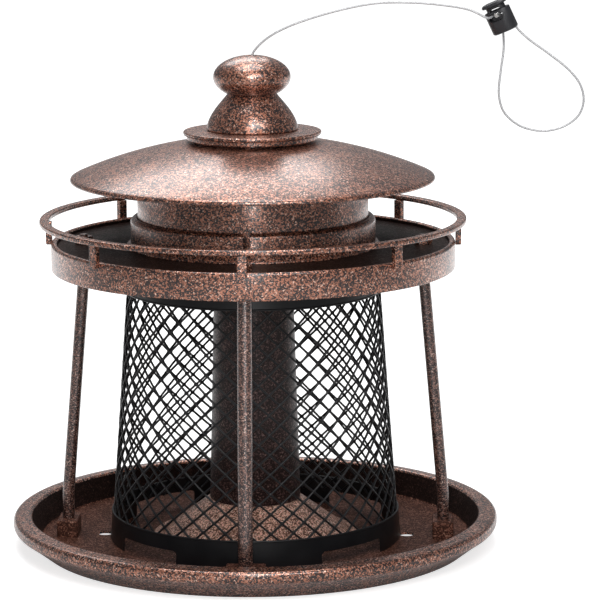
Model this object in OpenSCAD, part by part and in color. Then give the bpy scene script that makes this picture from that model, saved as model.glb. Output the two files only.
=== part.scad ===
// Hanging lantern bird feeder: a tray, a mesh seed basket between four posts, a railed deck and a
// domed roof that slides up its steel cable. Millimetres, +Z up; the origin is the centre of the
// tray's foot ring, and the front is -Y.

/* [Tray] */
// Outer radius of the tray's rolled rim
tray_rim_r = 125.2; // [120:0.2:150]
// Height of the rim's crest above the standing surface
tray_h = 17.2; // [14:0.2:22]
// Width of the rolled rim, from its crest to its outer face
rim_w = 9.2; // [7:0.2:12]
// How far the rim's top falls from its crest to its outer edge
rim_fall = 0.9; // [0.3:0.1:2]
// Height at which the rim's outer face turns back under
rim_under_z = 11.2; // [9:0.2:12]
// Height of the tray floor's upper face
tray_floor_z = 3.4; // [3:0.1:4.4]
// Thickness of the sheet steel that the tray and the deck are pressed from
sheet_t = 1.2; // [0.8:0.1:1.4]
// Width of the flat foot ring that the tray stands on
foot_ring_w = 3.4; // [2:0.2:5]
// Radius of each drain hole
drain_r = 4; // [2.5:0.25:5]
// Distance of the drain holes from the centre
drain_pcd_r = 78.5; // [78:0.5:82]
// Radius of the raised centre that makes room for the cable's anchor
dimple_r = 11; // [9:0.5:14]
// Height of that raised centre above the floor
dimple_h = 6; // [5:0.5:8]

/* [Basket] */
// Outer radius of the mesh basket at the tray floor
basket_foot_r = 74.6; // [70:0.2:77]
// How far the top of the basket stands out from the neck ring
basket_top_out = 1; // [0.8:0.1:3]
// Thickness of the expanded mesh
mesh_t = 0.8; // [0.6:0.1:1.2]
// Openings in one row round the basket
mesh_cells = 20; // [16:1:24]
// Openings in one column of the basket
mesh_rows = 7; // [5:1:8]
// Width of the strands between the openings
strand_w = 2.4; // [1.8:0.1:3]
// Thickness of the bands that edge the mesh
band_t = 0.6; // [0.5:0.1:1]
// Height of the bottom band
bottom_band_h = 15.3; // [13:0.1:20]
// Height of the part of the top band that shows below the deck
top_band_drop = 11.7; // [8:0.1:16]
// Width of each arched seed port
port_w = 41; // [20:1:50]
// Height of each seed port
port_h = 7.5; // [6.5:0.1:9]
// Corner radius of a seed port
port_corner_r = 2.5; // [1:0.1:3]

/* [Seed column] */
// Radius of the centre column at its foot
column_foot_r = 23.4; // [22:0.1:25]
// Radius of the centre column at its top
column_top_r = 20; // [16:0.1:21]
// Height of the column's top above the standing surface
column_top_z = 148; // [120:1:149]
// Wall of the column
column_t = 1; // [0.8:0.1:1.5]
// Radius of the baffle cone where it meets the tray floor
cone_foot_r = 50; // [40:0.5:58]
// Height of the baffle cone's top
cone_top_z = 23.5; // [18:0.5:28]
// Sheet thickness of the baffle cone
cone_t = 1; // [0.8:0.1:1.2]
// Height of the collar that locates the column
cone_collar_h = 10; // [6:0.5:16]

/* [Posts] */
// How far the posts stand in from the foot of the tray wall, to their axes
post_foot_in = 13.9; // [11:0.1:16]
// How far the post tops stand in from the lip of the deck, to their axes
post_top_in = 13.2; // [10:0.1:16]
// Size of a post across, radially
post_d = 6; // [5:0.1:7]
// Size of a post along the rim
post_w = 7.2; // [6.5:0.1:9]
// Height at which a post starts to lean in
post_bend_low_z = 25; // [20:0.5:40]
// How far below the deck floor a post stands up straight again
post_bend_drop = 10.6; // [7:0.1:16]
// Radius of the threaded stub on a post
stub_r = 2.5; // [2:0.1:2.8]
// Width of a post nut across its flats
nut_flats = 8; // [7:0.1:9]
// Height of a post nut
nut_h = 4; // [3:0.1:5]
// Radius of the screw that holds a post's foot
screw_r = 2; // [1.5:0.1:2.2]
// Radius of that screw's head
screw_head_r = 3.6; // [3:0.1:4.5]
// Height of that screw's head
screw_head_h = 1.6; // [1:0.1:1.7]
// Reach of that screw into the post
screw_reach = 9; // [6:0.5:14]
// Width of a foot cap along the rim
foot_cap_w = 19.6; // [14:0.2:24]
// Depth of a foot cap, radially
foot_cap_d = 10.8; // [9:0.2:13]
// Height of a foot cap
foot_cap_h = 8.8; // [7:0.2:12]

/* [Deck] */
// Outer radius of the deck's band
deck_r = 103.3; // [101:0.1:108]
// Height of the deck lip above the standing surface
deck_top_z = 158.7; // [150:0.1:175]
// Height of the deck's band
deck_band_h = 14; // [12:0.5:20]
// Depth of the deck floor below the lip
deck_sink = 2.4; // [2:0.1:4]
// Width of the folded lip
lip_w = 3.2; // [2.8:0.1:4]
// How far the neck ring stands out from the roof skirt
neck_out = 3.6; // [3.2:0.1:4.4]
// Height of the neck ring above the deck floor
neck_h = 14.7; // [10:0.1:20]
// Radius of the neck ring's rounded shoulder
neck_shoulder_r = 2.6; // [1:0.1:2.8]
// How far the neck ring hangs below the deck floor
neck_hang = 6; // [4:0.5:9]
// Width of the ledge inside the neck ring that carries the roof
ledge_w = 7; // [5:0.5:9]
// Width of the locating slot in the neck ring
slot_w = 3.6; // [2.6:0.1:5]
// How far the rail stands out from the deck
rail_out = 5.7; // [4:0.1:8]
// Radial width of the rail
rail_w = 4.9; // [4:0.1:5.2]
// Thickness of the rail
rail_h = 2.7; // [2:0.1:4]
// Gap between the deck lip and the rail
rail_gap = 9.1; // [6:0.1:20]
// Width of a baluster
baluster_w = 4.9; // [3:0.1:7]
// Radial thickness of a baluster
baluster_t = 3; // [2:0.1:3.4]
// How far a baluster overlaps the deck's band
baluster_lap = 3; // [2:0.1:8]

/* [Roof] */
// Radius of the roof's rim
roof_r = 93; // [80:0.5:100]
// Height of the roof's lower edge above the deck lip
roof_edge_lift = 31; // [25:0.5:40]
// Radius of the sphere that the roof is a cap of
dome_r = 228; // [180:1:300]
// Sheet thickness of the roof
roof_t = 1.2; // [0.8:0.1:1.6]
// Depth of the turned-down edge of the roof
roof_edge_h = 1.4; // [1:0.1:3]
// Outer radius of the skirt that plugs into the neck ring
skirt_r = 59; // [57:0.1:59.1]
// Sheet thickness of the skirt
skirt_t = 1; // [0.8:0.1:1.5]
// Radius of the locating peg on the skirt
peg_r = 1.2; // [0.8:0.1:1.25]

/* [Finial] */
// Radius of the finial's flange
flange_r = 35.2; // [32:0.2:40]
// Thickness of the flange's upper plate
flange_h = 2.4; // [1.8:0.1:4]
// Height of the flange's lower plate
flange_step_h = 2.6; // [1.6:0.1:3]
// Distance from the flange's edge in to the lower plate's edge
flange_step_in = 1.8; // [1.2:0.1:3]
// Distance from the flange's edge in to the collar that stands on the roof
flange_foot_in = 6.4; // [4.6:0.1:7.5]
// Height of the collar between the roof and the lower plate
flange_lift = 0.6; // [0.4:0.1:3]
// Radius of the bell at its foot
bell_r = 23.4; // [18:0.1:26]
// Radius of the bell at its neck
bell_neck_r = 12.6; // [10:0.1:15]
// Height of the bell
bell_h = 18.7; // [14:0.1:24]
// Sheet thickness of the bell
bell_t = 1.2; // [0.8:0.1:1.6]
// Radius of the ball at its widest
ball_r = 19.7; // [16:0.1:24]
// Half of the ball's height
ball_half_h = 11.1; // [10:0.1:16]
// How far the ball's flat seat lies below its widest level
ball_seat_drop = 8.2; // [7:0.1:9]

/* [Cable] */
// Diameter of the stranded steel cable
cable_d = 1.2; // [1:0.1:1.4]
// Diameter of the bore that guides the cable through the roof's tube
guide_d = 3.2; // [2.6:0.1:4]
// Outer radius of the roof's threaded tube
tube_r = 3.5; // [3:0.1:4.5]
// Radius of the ferrule pressed on the cable's lower end
ferrule_r = 2.2; // [1.5:0.1:3]
// Length of that ferrule
ferrule_h = 4.4; // [3:0.1:5.2]
// Radius of the washer that carries the feeder on the cable
anchor_washer_r = 7; // [5:0.5:8]
// Thickness of that washer
anchor_washer_t = 1; // [0.6:0.1:1.5]

/* [Cord lock] */
// Width of the lock
lock_w = 14; // [12:0.2:18]
// Depth of the lock
lock_d = 9; // [8:0.2:12]
// Height of the lock's body above the middle of its window
lock_rise = 3.1; // [2.8:0.1:5]
// Height of the lock's body below the middle of its window
lock_drop = 8.8; // [8:0.1:12]
// Width of the window that the cable runs through
window_w = 8.6; // [8:0.1:9.4]
// Height of the window that the cable runs through
window_h = 4.2; // [4:0.1:5]
// Width of the plunger's tongue
tongue_w = 10.4; // [10:0.1:11]
// Depth of the plunger's tongue
tongue_d = 5.4; // [4.5:0.1:6]
// Thickness of the plunger's cap
plunger_cap_h = 2; // [1.5:0.1:3]
// Travel of the plunger
plunger_travel = 2; // [1.6:0.1:2.2]
// Radius of the lock's spring, to the middle of its wire
spring_r = 1.7; // [1.4:0.1:2]
// Wire diameter of the lock's spring
spring_wire_d = 0.5; // [0.4:0.05:0.6]

/* [Fits] */
// Gap between pieces that are pressed, welded or screwed together
fit_gap = 0.05; // [0.03:0.01:0.1]
// Gap around pieces that slide
slide_gap = 0.3; // [0.2:0.05:0.4]

/* [Hidden] */
$fn = 96;

copper = [0.40, 0.24, 0.18];
black = [0.07, 0.07, 0.08];
steel = [0.70, 0.70, 0.72];

// azimuths of the four posts and of the eight balusters, counted from the front
FRONT = -90;
quarter = 90;
eighth = 45;

// tray
floor_mid_z = tray_floor_z - sheet_t / 2;
floor_under_z = tray_floor_z - sheet_t;
crest_r = tray_rim_r - rim_w + sheet_t / 2;
wall_batter = 5.4;
wall_foot_r = crest_r - wall_batter;
skirt_knee_in = 6.2;
skirt_knee_drop = 3.9;
foot_out_r = wall_foot_r - 0.6;

// neck ring, which the roof skirt and the top of the basket fit
neck_r = skirt_r + neck_out;

// basket
basket_top_r = neck_r + basket_top_out;
deck_floor_z = deck_top_z - deck_sink;
deck_under_z = deck_floor_z - sheet_t;
deck_low_z = deck_top_z - deck_band_h;
basket_slope = (basket_foot_r - basket_top_r) / (deck_under_z - tray_floor_z);
bottom_band_z = tray_floor_z + bottom_band_h;
top_band_z = deck_low_z - top_band_drop;
mesh_lap = 7;
mesh_edge = 2;
mesh_low_z = bottom_band_z - mesh_lap;
mesh_high_z = top_band_z + mesh_lap;
cell_h = (mesh_high_z - mesh_low_z - 2 * mesh_edge) / mesh_rows;
port_clear = 0.8;
function basket_r(z) = basket_foot_r - (z - tray_floor_z) * basket_slope;

// seed column and baffle cone
column_seat_r = column_foot_r + 0.6;
collar_r = column_foot_r - column_t - slide_gap - cone_t / 2 - 0.3;
cone_flange_w = 3;
cable_hole_r = cable_d / 2 + 0.6;

// posts
post_foot_r = wall_foot_r - post_foot_in;
post_top_r = deck_r - lip_w - post_top_in;
post_bend_high_z = deck_under_z - post_bend_drop;
post_bend_r = 60;
post_bend_steps = 4;
post_sides = 28;
// how far a post's threaded stub is rooted in it, and how far it stands out of its nut
stub_root = 1;
stub_end = 1;

// deck, neck ring and rail
lip_in_r = deck_r - lip_w;
neck_top_z = deck_floor_z + neck_h;
neck_low_z = deck_floor_z - neck_hang;
neck_flange_w = 2;
neck_flange_t = 0.9;
mouth_r = skirt_r + slide_gap;
ledge_r = neck_r - sheet_t - ledge_w;
rail_r = deck_r + rail_out;
rail_z = deck_top_z + rail_gap;
rail_edge_r = 0.9;

// roof and finial
roof_edge_z = deck_top_z + roof_edge_lift;
dome_mid_r = dome_r - roof_t / 2;
roof_lip_r = roof_r - roof_t / 2;
dome_z = roof_edge_z + roof_edge_h - sqrt(dome_mid_r * dome_mid_r - roof_lip_r * roof_lip_r);
crown_z = dome_z + dome_r;
skirt_low_z = neck_low_z + sheet_t + slide_gap;
tube_hole_r = tube_r + 0.2;
flange_foot_r = flange_r - flange_foot_in;
flange_step_z = dome_over_z(flange_foot_r) + fit_gap + flange_lift;
flange_z = flange_step_z + flange_step_h;
bell_z = flange_z + flange_h;
ball_seat_z = bell_z + bell_h;
ball_mid_z = ball_seat_z + ball_seat_drop;
ball_top_z = ball_mid_z + ball_half_h;
tube_top_z = ball_top_z - 3;
roof_nut_flats = 11;
roof_nut_h = 3;
roof_washer_r = 9;
roof_washer_t = 1;
tube_low_z = crown_z - roof_t - roof_washer_t - roof_nut_h - 2;
slot_floor_z = deck_floor_z + 3;
peg_z = slot_floor_z + peg_r + slide_gap;
function dome_under_z(r) = dome_z + sqrt(pow(dome_r - roof_t, 2) - r * r);
function dome_over_z(r) = dome_z + sqrt(dome_r * dome_r - r * r);

// cable anchor
anchor_z = floor_under_z + dimple_h;
washer_z = anchor_z - anchor_washer_t;
ferrule_z = washer_z - ferrule_h;
inner_cable_top_z = 246;
cable_tail = 0.6;

// cord lock: its place, its lean to the left and its turn about its own axis
lock_at = [125, 0, 273];
lock_lean = 25;
lock_turn = 25;
lock_floor_t = 1.6;
tongue_foot = 2.2;
plunger_gap = plunger_travel + 0.3;
pocket_z = -lock_drop + lock_floor_t;
tongue_z = -window_h / 2 + plunger_travel - tongue_foot;
spring_turns = 4;
crimp_r = 1.1;
crimp_l = 2.6;
crimp_gap = 0.4;
strand_x = 2;
strand_z = 1;

// route of the cable above the roof: out of the ball, over to the lock, through its window, round
// the hanging loop and back through the window to the crimped end
cable_route = [
    [0, 0, 246.3], [0, 0, 252], [1.2, 0, 255], [8.5, 0, 262], [24, 0, 269.5], [58.5, 0, 278.5],
    [80, -1, 279.5], [99.5, -3.5, 278], [109, -5.3, 276.4], [114, -6.1, 274.5], [116.8, -6.4, 273],
    [118.5, -6.1, 272.2], [119.9, -5, 271.9], [120.9, -3.2, 272.1], [124.5, 5.4, 273.9],
    [125.4, 7.6, 273.6], [126.1, 9.2, 272.1], [126.5, 9.7, 269.8], [127.4, 9.2, 263],
    [127.6, 7.4, 255], [126.1, 4.6, 244], [125.2, 2.5, 232.5], [127.6, 1.5, 224], [134.5, 1, 217.5],
    [142, 1, 214.7], [150, 1, 214.2], [159, 1, 216.8], [165.5, 1, 222], [168, 1.2, 229],
    [166.5, 1.8, 237], [161, 2.8, 244.5], [150, 4.4, 253.3], [140.3, 6.2, 260.2], [134.2, 7.4, 266],
    [131.8, 7.7, 270.4], [130.6, 7.1, 273.7], [129.3, 5.7, 275.3], [128, 3.3, 275.5],
    [124.4, -5.1, 273.9], [123.6, -7, 273.5]
];
ring_gap = 4.6;
cable_sides = 8;

// ---- shared outlines -------------------------------------------------------------------------

function unit(v) = v / norm(v);
function left_of(v) = [-v.y, v.x];
function heading(path, i) = unit(path[i + 1] - path[i]);

// offset direction at a point of an open path, long enough to keep a sheet's thickness
function miter(path, i) = let (
    last = len(path) - 1,
    before = left_of(heading(path, max(i - 1, 0))),
    after = left_of(heading(path, min(i, last - 1))),
    half = unit(before + after)
) half / (half * after);

// the section of a sheet of thickness t whose middle follows the path
function ribbon(path, t) = let (last = len(path) - 1) concat(
    [for (i = [0:last]) path[i] + miter(path, i) * t / 2],
    [for (i = [last:-1:0]) path[i] - miter(path, i) * t / 2]
);

// the arc that rounds the corner b between a and c
function corner(a, b, c, r, steps) = let (
    u = unit(a - b),
    v = unit(c - b),
    half = acos(u * v) / 2,
    o = b + unit(u + v) * r / sin(half),
    start = b + u * r / tan(half) - o,
    end = b + v * r / tan(half) - o,
    from = atan2(start.y, start.x),
    turn = (atan2(end.y, end.x) - from + 540) % 360 - 180
) [for (i = [0:steps]) o + r * [cos(from + turn * i / steps), sin(from + turn * i / steps)]];

// a path with its corners rounded by the radii given
function bent(points, radii, steps = 6) = [
    for (i = [0:len(points) - 1]) each (radii[i] == 0
        ? [points[i]]
        : corner(points[i - 1], points[i], points[i + 1], radii[i], steps))
];

function bezier(a, b, c, d, steps) = [for (i = [0:steps]) let (t = i / steps, s = 1 - t)
    a * s * s * s + b * 3 * s * s * t + c * 3 * s * t * t + d * t * t * t];

module turned_sheet(path, t) rotate_extrude() polygon(ribbon(path, t));

module ring(r, hole_r, h) difference() {
    cylinder(r = r, h = h);
    translate([0, 0, -1]) cylinder(r = hole_r, h = h + 2);
}

// a tapered ring that follows the basket's slope, between two heights
module basket_ring(z0, z1, inset, t) rotate_extrude() polygon([
    [basket_r(z0) - inset - t, z0], [basket_r(z0) - inset, z0],
    [basket_r(z1) - inset, z1], [basket_r(z1) - inset - t, z1]
]);

// a flat-sided oval, w along X and d along Y
module oval(w, d) {
    square([w - d, d], center = true);
    for (side = [-1, 1]) translate([side * (w - d) / 2, 0]) circle(d = d);
}

// copies its child at each of the four posts
module at_posts() for (i = [0:3]) rotate(FRONT + quarter * i) children();

// ---- tray ------------------------------------------------------------------------------------

tray_path = bent([
    [cable_hole_r, floor_mid_z + dimple_h], [dimple_r, floor_mid_z + dimple_h],
    [dimple_r + dimple_h, floor_mid_z], [wall_foot_r, floor_mid_z],
    [crest_r, tray_h - sheet_t / 2], [tray_rim_r - sheet_t / 2, tray_h - rim_fall - sheet_t / 2],
    [tray_rim_r - sheet_t / 2, rim_under_z],
    [tray_rim_r - skirt_knee_in, rim_under_z - skirt_knee_drop],
    [foot_out_r, sheet_t / 2], [foot_out_r - foot_ring_w, sheet_t / 2]
], [0, 2, 2, 2, 1.5, 2, 2, 6, 0.8, 0]);

module tray() color(copper) difference() {
    turned_sheet(tray_path, sheet_t);
    at_posts() {
        translate([drain_pcd_r, 0, 0]) cylinder(r = drain_r, h = tray_floor_z + 1);
        translate([post_foot_r, 0, 0]) cylinder(r = screw_r + slide_gap, h = tray_floor_z + 1);
    }
}

// ---- seed column and basket ------------------------------------------------------------------

module baffle_cone() color(copper) turned_sheet(bent([
    [collar_r, cone_top_z + cone_collar_h], [collar_r, cone_top_z - cone_t / 2],
    [column_seat_r, cone_top_z - cone_t / 2], [cone_foot_r, tray_floor_z + cone_t / 2],
    [cone_foot_r + cone_flange_w, tray_floor_z + cone_t / 2]
], [0, 0.8, 0.8, 1.5, 0]), cone_t);

module seed_column() color(copper) turned_sheet(bent([
    [column_foot_r - column_t / 2, cone_top_z + fit_gap],
    [column_top_r - column_t / 2, column_top_z - column_t / 2],
    [cable_hole_r, column_top_z - column_t / 2]
], [0, 3, 0]), column_t);

// one diamond of the mesh, at a height, cut straight outwards
module mesh_opening(z) {
    w = 2 * PI * basket_r(z) / mesh_cells;
    open = 1 - strand_w * norm([w, cell_h]) / (w * cell_h);
    translate([basket_top_r / 2, 0, z]) rotate([90, 0, 90]) linear_extrude(basket_foot_r)
        polygon([[w, 0], [0, cell_h], [-w, 0], [0, -cell_h]] * open / 2);
}

module mesh_basket() color(black) difference() {
    basket_ring(mesh_low_z, mesh_high_z, 0, mesh_t);
    for (row = [0:2 * mesh_rows - 2], i = [0:mesh_cells - 1])
        rotate(360 * (i + (row % 2) / 2) / mesh_cells)
            mesh_opening(mesh_low_z + mesh_edge + (row + 1) * cell_h / 2);
}

module seed_port() rotate([90, 0, 90]) linear_extrude(basket_foot_r) {
    translate([-port_w / 2, -1]) square([port_w, port_h - port_corner_r + 1]);
    translate([-port_w / 2 + port_corner_r, -1]) square([port_w - 2 * port_corner_r, port_h + 1]);
    for (side = [-1, 1]) translate([side * (port_w / 2 - port_corner_r), port_h - port_corner_r])
        circle(r = port_corner_r);
}

module basket_bottom_band() color(black) difference() {
    basket_ring(tray_floor_z, bottom_band_z, -fit_gap - band_t, band_t);
    for (i = [0:3]) rotate(eighth + quarter * i) translate([cone_foot_r, 0, tray_floor_z]) seed_port();
}

module basket_top_band() color(black)
    basket_ring(top_band_z, deck_under_z, -fit_gap - band_t, band_t);

// ---- posts -----------------------------------------------------------------------------------

post_path = concat(
    [[post_foot_r, tray_floor_z]],
    corner([post_foot_r, tray_floor_z], [post_foot_r, post_bend_low_z], [post_top_r, post_bend_high_z],
        post_bend_r, post_bend_steps),
    corner([post_foot_r, post_bend_low_z], [post_top_r, post_bend_high_z], [post_top_r, deck_under_z],
        post_bend_r, post_bend_steps),
    [[post_top_r, deck_under_z]]
);

// a point on a post's oval section: u outward from the middle, v along the rim
function post_edge(i, a) = let (
    out = -miter(post_path, i) * post_d / 2 * cos(a),
    v = post_d / 2 * sin(a) + sign(sin(a)) * (post_w - post_d) / 2
) [post_path[i].x + out.x, v, post_path[i].y + out.y];

module post_rod() {
    last = len(post_path) - 1;
    n = post_sides;
    polyhedron(
        points = [for (i = [0:last], k = [0:n - 1]) post_edge(i, 360 * (k + 0.5) / n)],
        faces = concat(
            [[for (k = [0:n - 1]) k]],
            [for (i = [0:last - 1], k = [0:n - 1]) let (m = (k + 1) % n)
                [i * n + k, (i + 1) * n + k, (i + 1) * n + m, i * n + m]],
            [[for (k = [n - 1:-1:0]) last * n + k]]
        )
    );
}

module post() color(copper) difference() {
    union() {
        post_rod();
        translate([post_top_r, 0, deck_under_z - stub_root])
            cylinder(r = stub_r, h = stub_root + sheet_t + nut_h + stub_end);
    }
    translate([post_foot_r, 0, tray_floor_z - 1]) cylinder(r = screw_r + fit_gap, h = screw_reach + 2);
}

module foot_cap() color(copper) translate([post_foot_r, 0, tray_floor_z]) difference() {
    translate([-foot_cap_d / 2, -foot_cap_w / 2, 0]) cube([foot_cap_d, foot_cap_w, foot_cap_h]);
    translate([-foot_cap_d / 2 + sheet_t, -foot_cap_w / 2 + sheet_t, -1])
        cube([foot_cap_d - 2 * sheet_t, foot_cap_w - 2 * sheet_t, foot_cap_h - sheet_t + 1]);
    translate([0, 0, -1]) linear_extrude(foot_cap_h + 2)
        rotate(90) oval(post_w + 2 * fit_gap, post_d + 2 * fit_gap);
}

module foot_screws() color(steel) at_posts() translate([post_foot_r, 0, floor_under_z]) {
    translate([0, 0, -screw_head_h]) cylinder(r = screw_head_r, h = screw_head_h);
    cylinder(r = screw_r, h = sheet_t + screw_reach);
}

module post_nuts() color(copper) at_posts() translate([post_top_r, 0, deck_floor_z]) difference() {
    cylinder(d = nut_flats / cos(30), h = nut_h, $fn = 6);
    translate([0, 0, -1]) cylinder(r = stub_r + fit_gap, h = nut_h + 2);
}

// ---- deck ------------------------------------------------------------------------------------

deck_path = bent([
    [neck_r + fit_gap, deck_floor_z - sheet_t / 2], [lip_in_r + sheet_t / 2, deck_floor_z - sheet_t / 2],
    [lip_in_r + sheet_t / 2, deck_top_z - sheet_t / 2], [deck_r - sheet_t / 2, deck_top_z - sheet_t / 2],
    [deck_r - sheet_t / 2, deck_low_z]
], [0, 1, 0.9, 0.9, 0]);

module deck_pan() color(copper) difference() {
    turned_sheet(deck_path, sheet_t);
    at_posts() translate([post_top_r, 0, deck_low_z]) cylinder(r = stub_r + fit_gap, h = deck_band_h);
}

module neck_ring() color(copper) difference() {
    union() {
        turned_sheet(bent([
            [ledge_r, neck_low_z + sheet_t / 2], [neck_r - sheet_t / 2, neck_low_z + sheet_t / 2],
            [neck_r - sheet_t / 2, neck_top_z - sheet_t / 2], [mouth_r, neck_top_z - sheet_t / 2]
        ], [0, 1, min(neck_shoulder_r, neck_r - sheet_t / 2 - mouth_r - 0.05), 0]), sheet_t);
        translate([0, 0, deck_floor_z]) ring(neck_r + neck_flange_w, neck_r - sheet_t / 2, neck_flange_t);
    }
    translate([-slot_w / 2, -neck_r - 1, slot_floor_z]) cube([slot_w, neck_r / 2, neck_h]);
}

module rail() color(copper) rotate_extrude() polygon(bent([
    [rail_r - rail_w / 2, rail_z], [rail_r, rail_z], [rail_r, rail_z + rail_h],
    [rail_r - rail_w, rail_z + rail_h], [rail_r - rail_w, rail_z], [rail_r - rail_w / 2, rail_z]
], [0, rail_edge_r, rail_edge_r, rail_edge_r, rail_edge_r, 0], 4));

module baluster() color(copper) {
    foot_z = deck_top_z - baluster_lap;
    intersection() {
        translate([0, 0, foot_z]) ring(deck_r + fit_gap + baluster_t, deck_r + fit_gap, rail_z - foot_z);
        translate([deck_r - baluster_t, 0, foot_z + baluster_w / 2]) rotate([90, 0, 90])
            linear_extrude(3 * baluster_t) {
                circle(d = baluster_w);
                translate([-baluster_w / 2, 0]) square([baluster_w, rail_z - foot_z]);
            }
    }
}

// ---- cable anchor ----------------------------------------------------------------------------

module inner_cable() color(steel) translate([0, 0, ferrule_z - cable_tail])
    cylinder(d = cable_d, h = inner_cable_top_z - ferrule_z + cable_tail);

module cable_washer() color(steel) translate([0, 0, washer_z])
    ring(anchor_washer_r, cable_d / 2 + slide_gap, anchor_washer_t);

module cable_ferrule() color(steel) translate([0, 0, ferrule_z]) ring(ferrule_r, cable_d / 2, ferrule_h);

// ---- roof ------------------------------------------------------------------------------------

dome_steps = 24;
dome_path = concat(
    [for (i = [0:dome_steps]) let (r = tube_hole_r + (roof_lip_r - roof_t - tube_hole_r) * i / dome_steps)
        [r, dome_z + sqrt(dome_mid_r * dome_mid_r - r * r)]],
    [[roof_lip_r - 0.2, roof_edge_z + roof_edge_h - 0.1], [roof_lip_r, roof_edge_z + roof_edge_h - 0.6],
     [roof_lip_r, roof_edge_z]]
);

module roof_dome() color(copper) turned_sheet(dome_path, roof_t);

module roof_skirt() color(copper) difference() {
    translate([0, 0, skirt_low_z])
        ring(skirt_r, skirt_r - skirt_t, dome_under_z(skirt_r) - fit_gap - skirt_low_z);
    translate([0, -skirt_r, peg_z]) rotate([90, 0, 0])
        cylinder(r = peg_r + fit_gap, h = 4 * skirt_t, center = true);
}

module roof_peg() color(steel) translate([0, -neck_r, peg_z]) rotate([-90, 0, 0])
    cylinder(r = peg_r, h = neck_r - skirt_r + skirt_t);

module roof_washer() color(steel)
    translate([0, 0, dome_under_z(roof_washer_r) - fit_gap - roof_washer_t])
        ring(roof_washer_r, tube_hole_r, roof_washer_t);

module roof_nut() color(steel)
    translate([0, 0, dome_under_z(roof_washer_r) - fit_gap - roof_washer_t - roof_nut_h]) difference() {
        cylinder(d = roof_nut_flats / cos(30), h = roof_nut_h, $fn = 6);
        translate([0, 0, -1]) cylinder(r = tube_r + fit_gap, h = roof_nut_h + 2);
    }

module roof_tube() color(steel) translate([0, 0, tube_low_z])
    ring(tube_r, guide_d / 2, tube_top_z - tube_low_z);

module finial_flange() color(copper) {
    edge_r = flange_h / 3;
    step_r = flange_r - flange_step_in;
    collar_in_r = flange_foot_r - 6;
    steps = 6;
    rotate_extrude() polygon(concat(
        [for (i = [0:steps]) let (r = collar_in_r + (flange_foot_r - collar_in_r) * i / steps)
            [r, dome_over_z(r) + fit_gap]],
        [[flange_foot_r, flange_step_z]],
        corner([flange_foot_r, flange_step_z], [step_r, flange_step_z], [step_r, flange_z], edge_r, 5),
        [[step_r, flange_z]],
        corner([step_r, flange_z], [flange_r, flange_z], [flange_r, bell_z], edge_r, 5),
        corner([flange_r, flange_z], [flange_r, bell_z - 0.5], [bell_r, bell_z], edge_r, 5),
        [[bell_r + 1, bell_z], [tube_hole_r, bell_z], [tube_hole_r, bell_z - bell_t],
         [collar_in_r, bell_z - bell_t]]
    ));
}

module finial_bell() color(copper) turned_sheet(concat(
    bezier([bell_r - bell_t / 2, bell_z + 2 * fit_gap], [bell_r - bell_t, bell_z + 0.41 * bell_h],
        [bell_neck_r + 0.2 * (bell_r - bell_neck_r), bell_z + 0.76 * bell_h],
        [bell_neck_r - bell_t / 2, ball_seat_z - bell_t / 2], 16),
    [[tube_hole_r, ball_seat_z - bell_t / 2]]
), bell_t);

module finial_ball() color(copper) difference() {
    seat = asin(ball_seat_drop / ball_half_h);
    steps = 32;
    rotate_extrude() polygon(concat(
        [[0, ball_seat_z]],
        [for (i = [0:steps]) let (a = -seat + (90 + seat) * i / steps)
            [ball_r * cos(a), ball_mid_z + ball_half_h * sin(a)]]
    ));
    translate([0, 0, ball_seat_z - 1]) cylinder(r = tube_r + fit_gap, h = tube_top_z - ball_seat_z + 1);
    cylinder(d = guide_d, h = ball_top_z + 1);
}

// ---- hanging cable and its lock --------------------------------------------------------------

// a smooth curve through the route's points that keeps short steps tight and long ones easy
function spline(p, i, t) = let (
    last = len(p) - 1,
    b = p[i],
    c = p[i + 1],
    a = i == 0 ? 2 * b - c : p[i - 1],
    d = i + 2 > last ? 2 * c - b : p[i + 2],
    u = sqrt(norm(b - a)),
    v = sqrt(norm(c - b)),
    w = sqrt(norm(d - c)),
    leave = v * ((b - a) / u - (c - a) / (u + v)) + (c - b),
    arrive = (c - b) - v * ((d - b) / (v + w) - (d - c) / w)
) (2 * t - 3) * t * t * (b - c) + b + leave * t * (1 - t) * (1 - t) - arrive * t * t * (1 - t);

// the points of the tube's rings, about one for each ring_gap
function along(p) = concat(
    [for (i = [0:len(p) - 2]) let (parts = max(1, round(norm(p[i + 1] - p[i]) / ring_gap)))
        for (k = [0:parts - 1]) spline(p, i, k / parts)],
    [p[len(p) - 1]]
);

function tangents(p) = let (last = len(p) - 1)
    [for (i = [0:last]) unit(p[min(i + 1, last)] - p[max(i - 1, 0)])];

// one side direction for each ring, carried along so that the tube doesn't twist
function sides_along(t) = [for (
    i = 0, side = [0, 1, 0];
    i < len(t);
    i = i + 1, side = i < len(t) ? unit(side - (side * t[i]) * t[i]) : side
) side];

module tube(route, d) {
    points = along(route);
    heads = tangents(points);
    sides = sides_along(heads);
    n = cable_sides;
    last = len(points) - 1;
    polyhedron(
        points = [for (i = [0:last], k = [0:n - 1]) points[i]
            + (sides[i] * cos(360 * k / n) + cross(heads[i], sides[i]) * sin(360 * k / n)) * d / 2],
        faces = concat(
            [[for (k = [0:n - 1]) k]],
            [for (i = [0:last - 1], k = [0:n - 1]) let (m = (k + 1) % n)
                [i * n + k, (i + 1) * n + k, (i + 1) * n + m, i * n + m]],
            [[for (k = [n - 1:-1:0]) last * n + k]]
        )
    );
}

module hanger_cable() color(steel) tube(cable_route, cable_d);

module in_lock() translate(lock_at) rotate([0, -lock_lean, 0]) rotate([0, 0, -lock_turn]) children();

// the window runs through the lock from front to back
module window_cut() rotate([90, 0, 0]) linear_extrude(2 * lock_d, center = true) oval(window_w, window_h);

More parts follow.
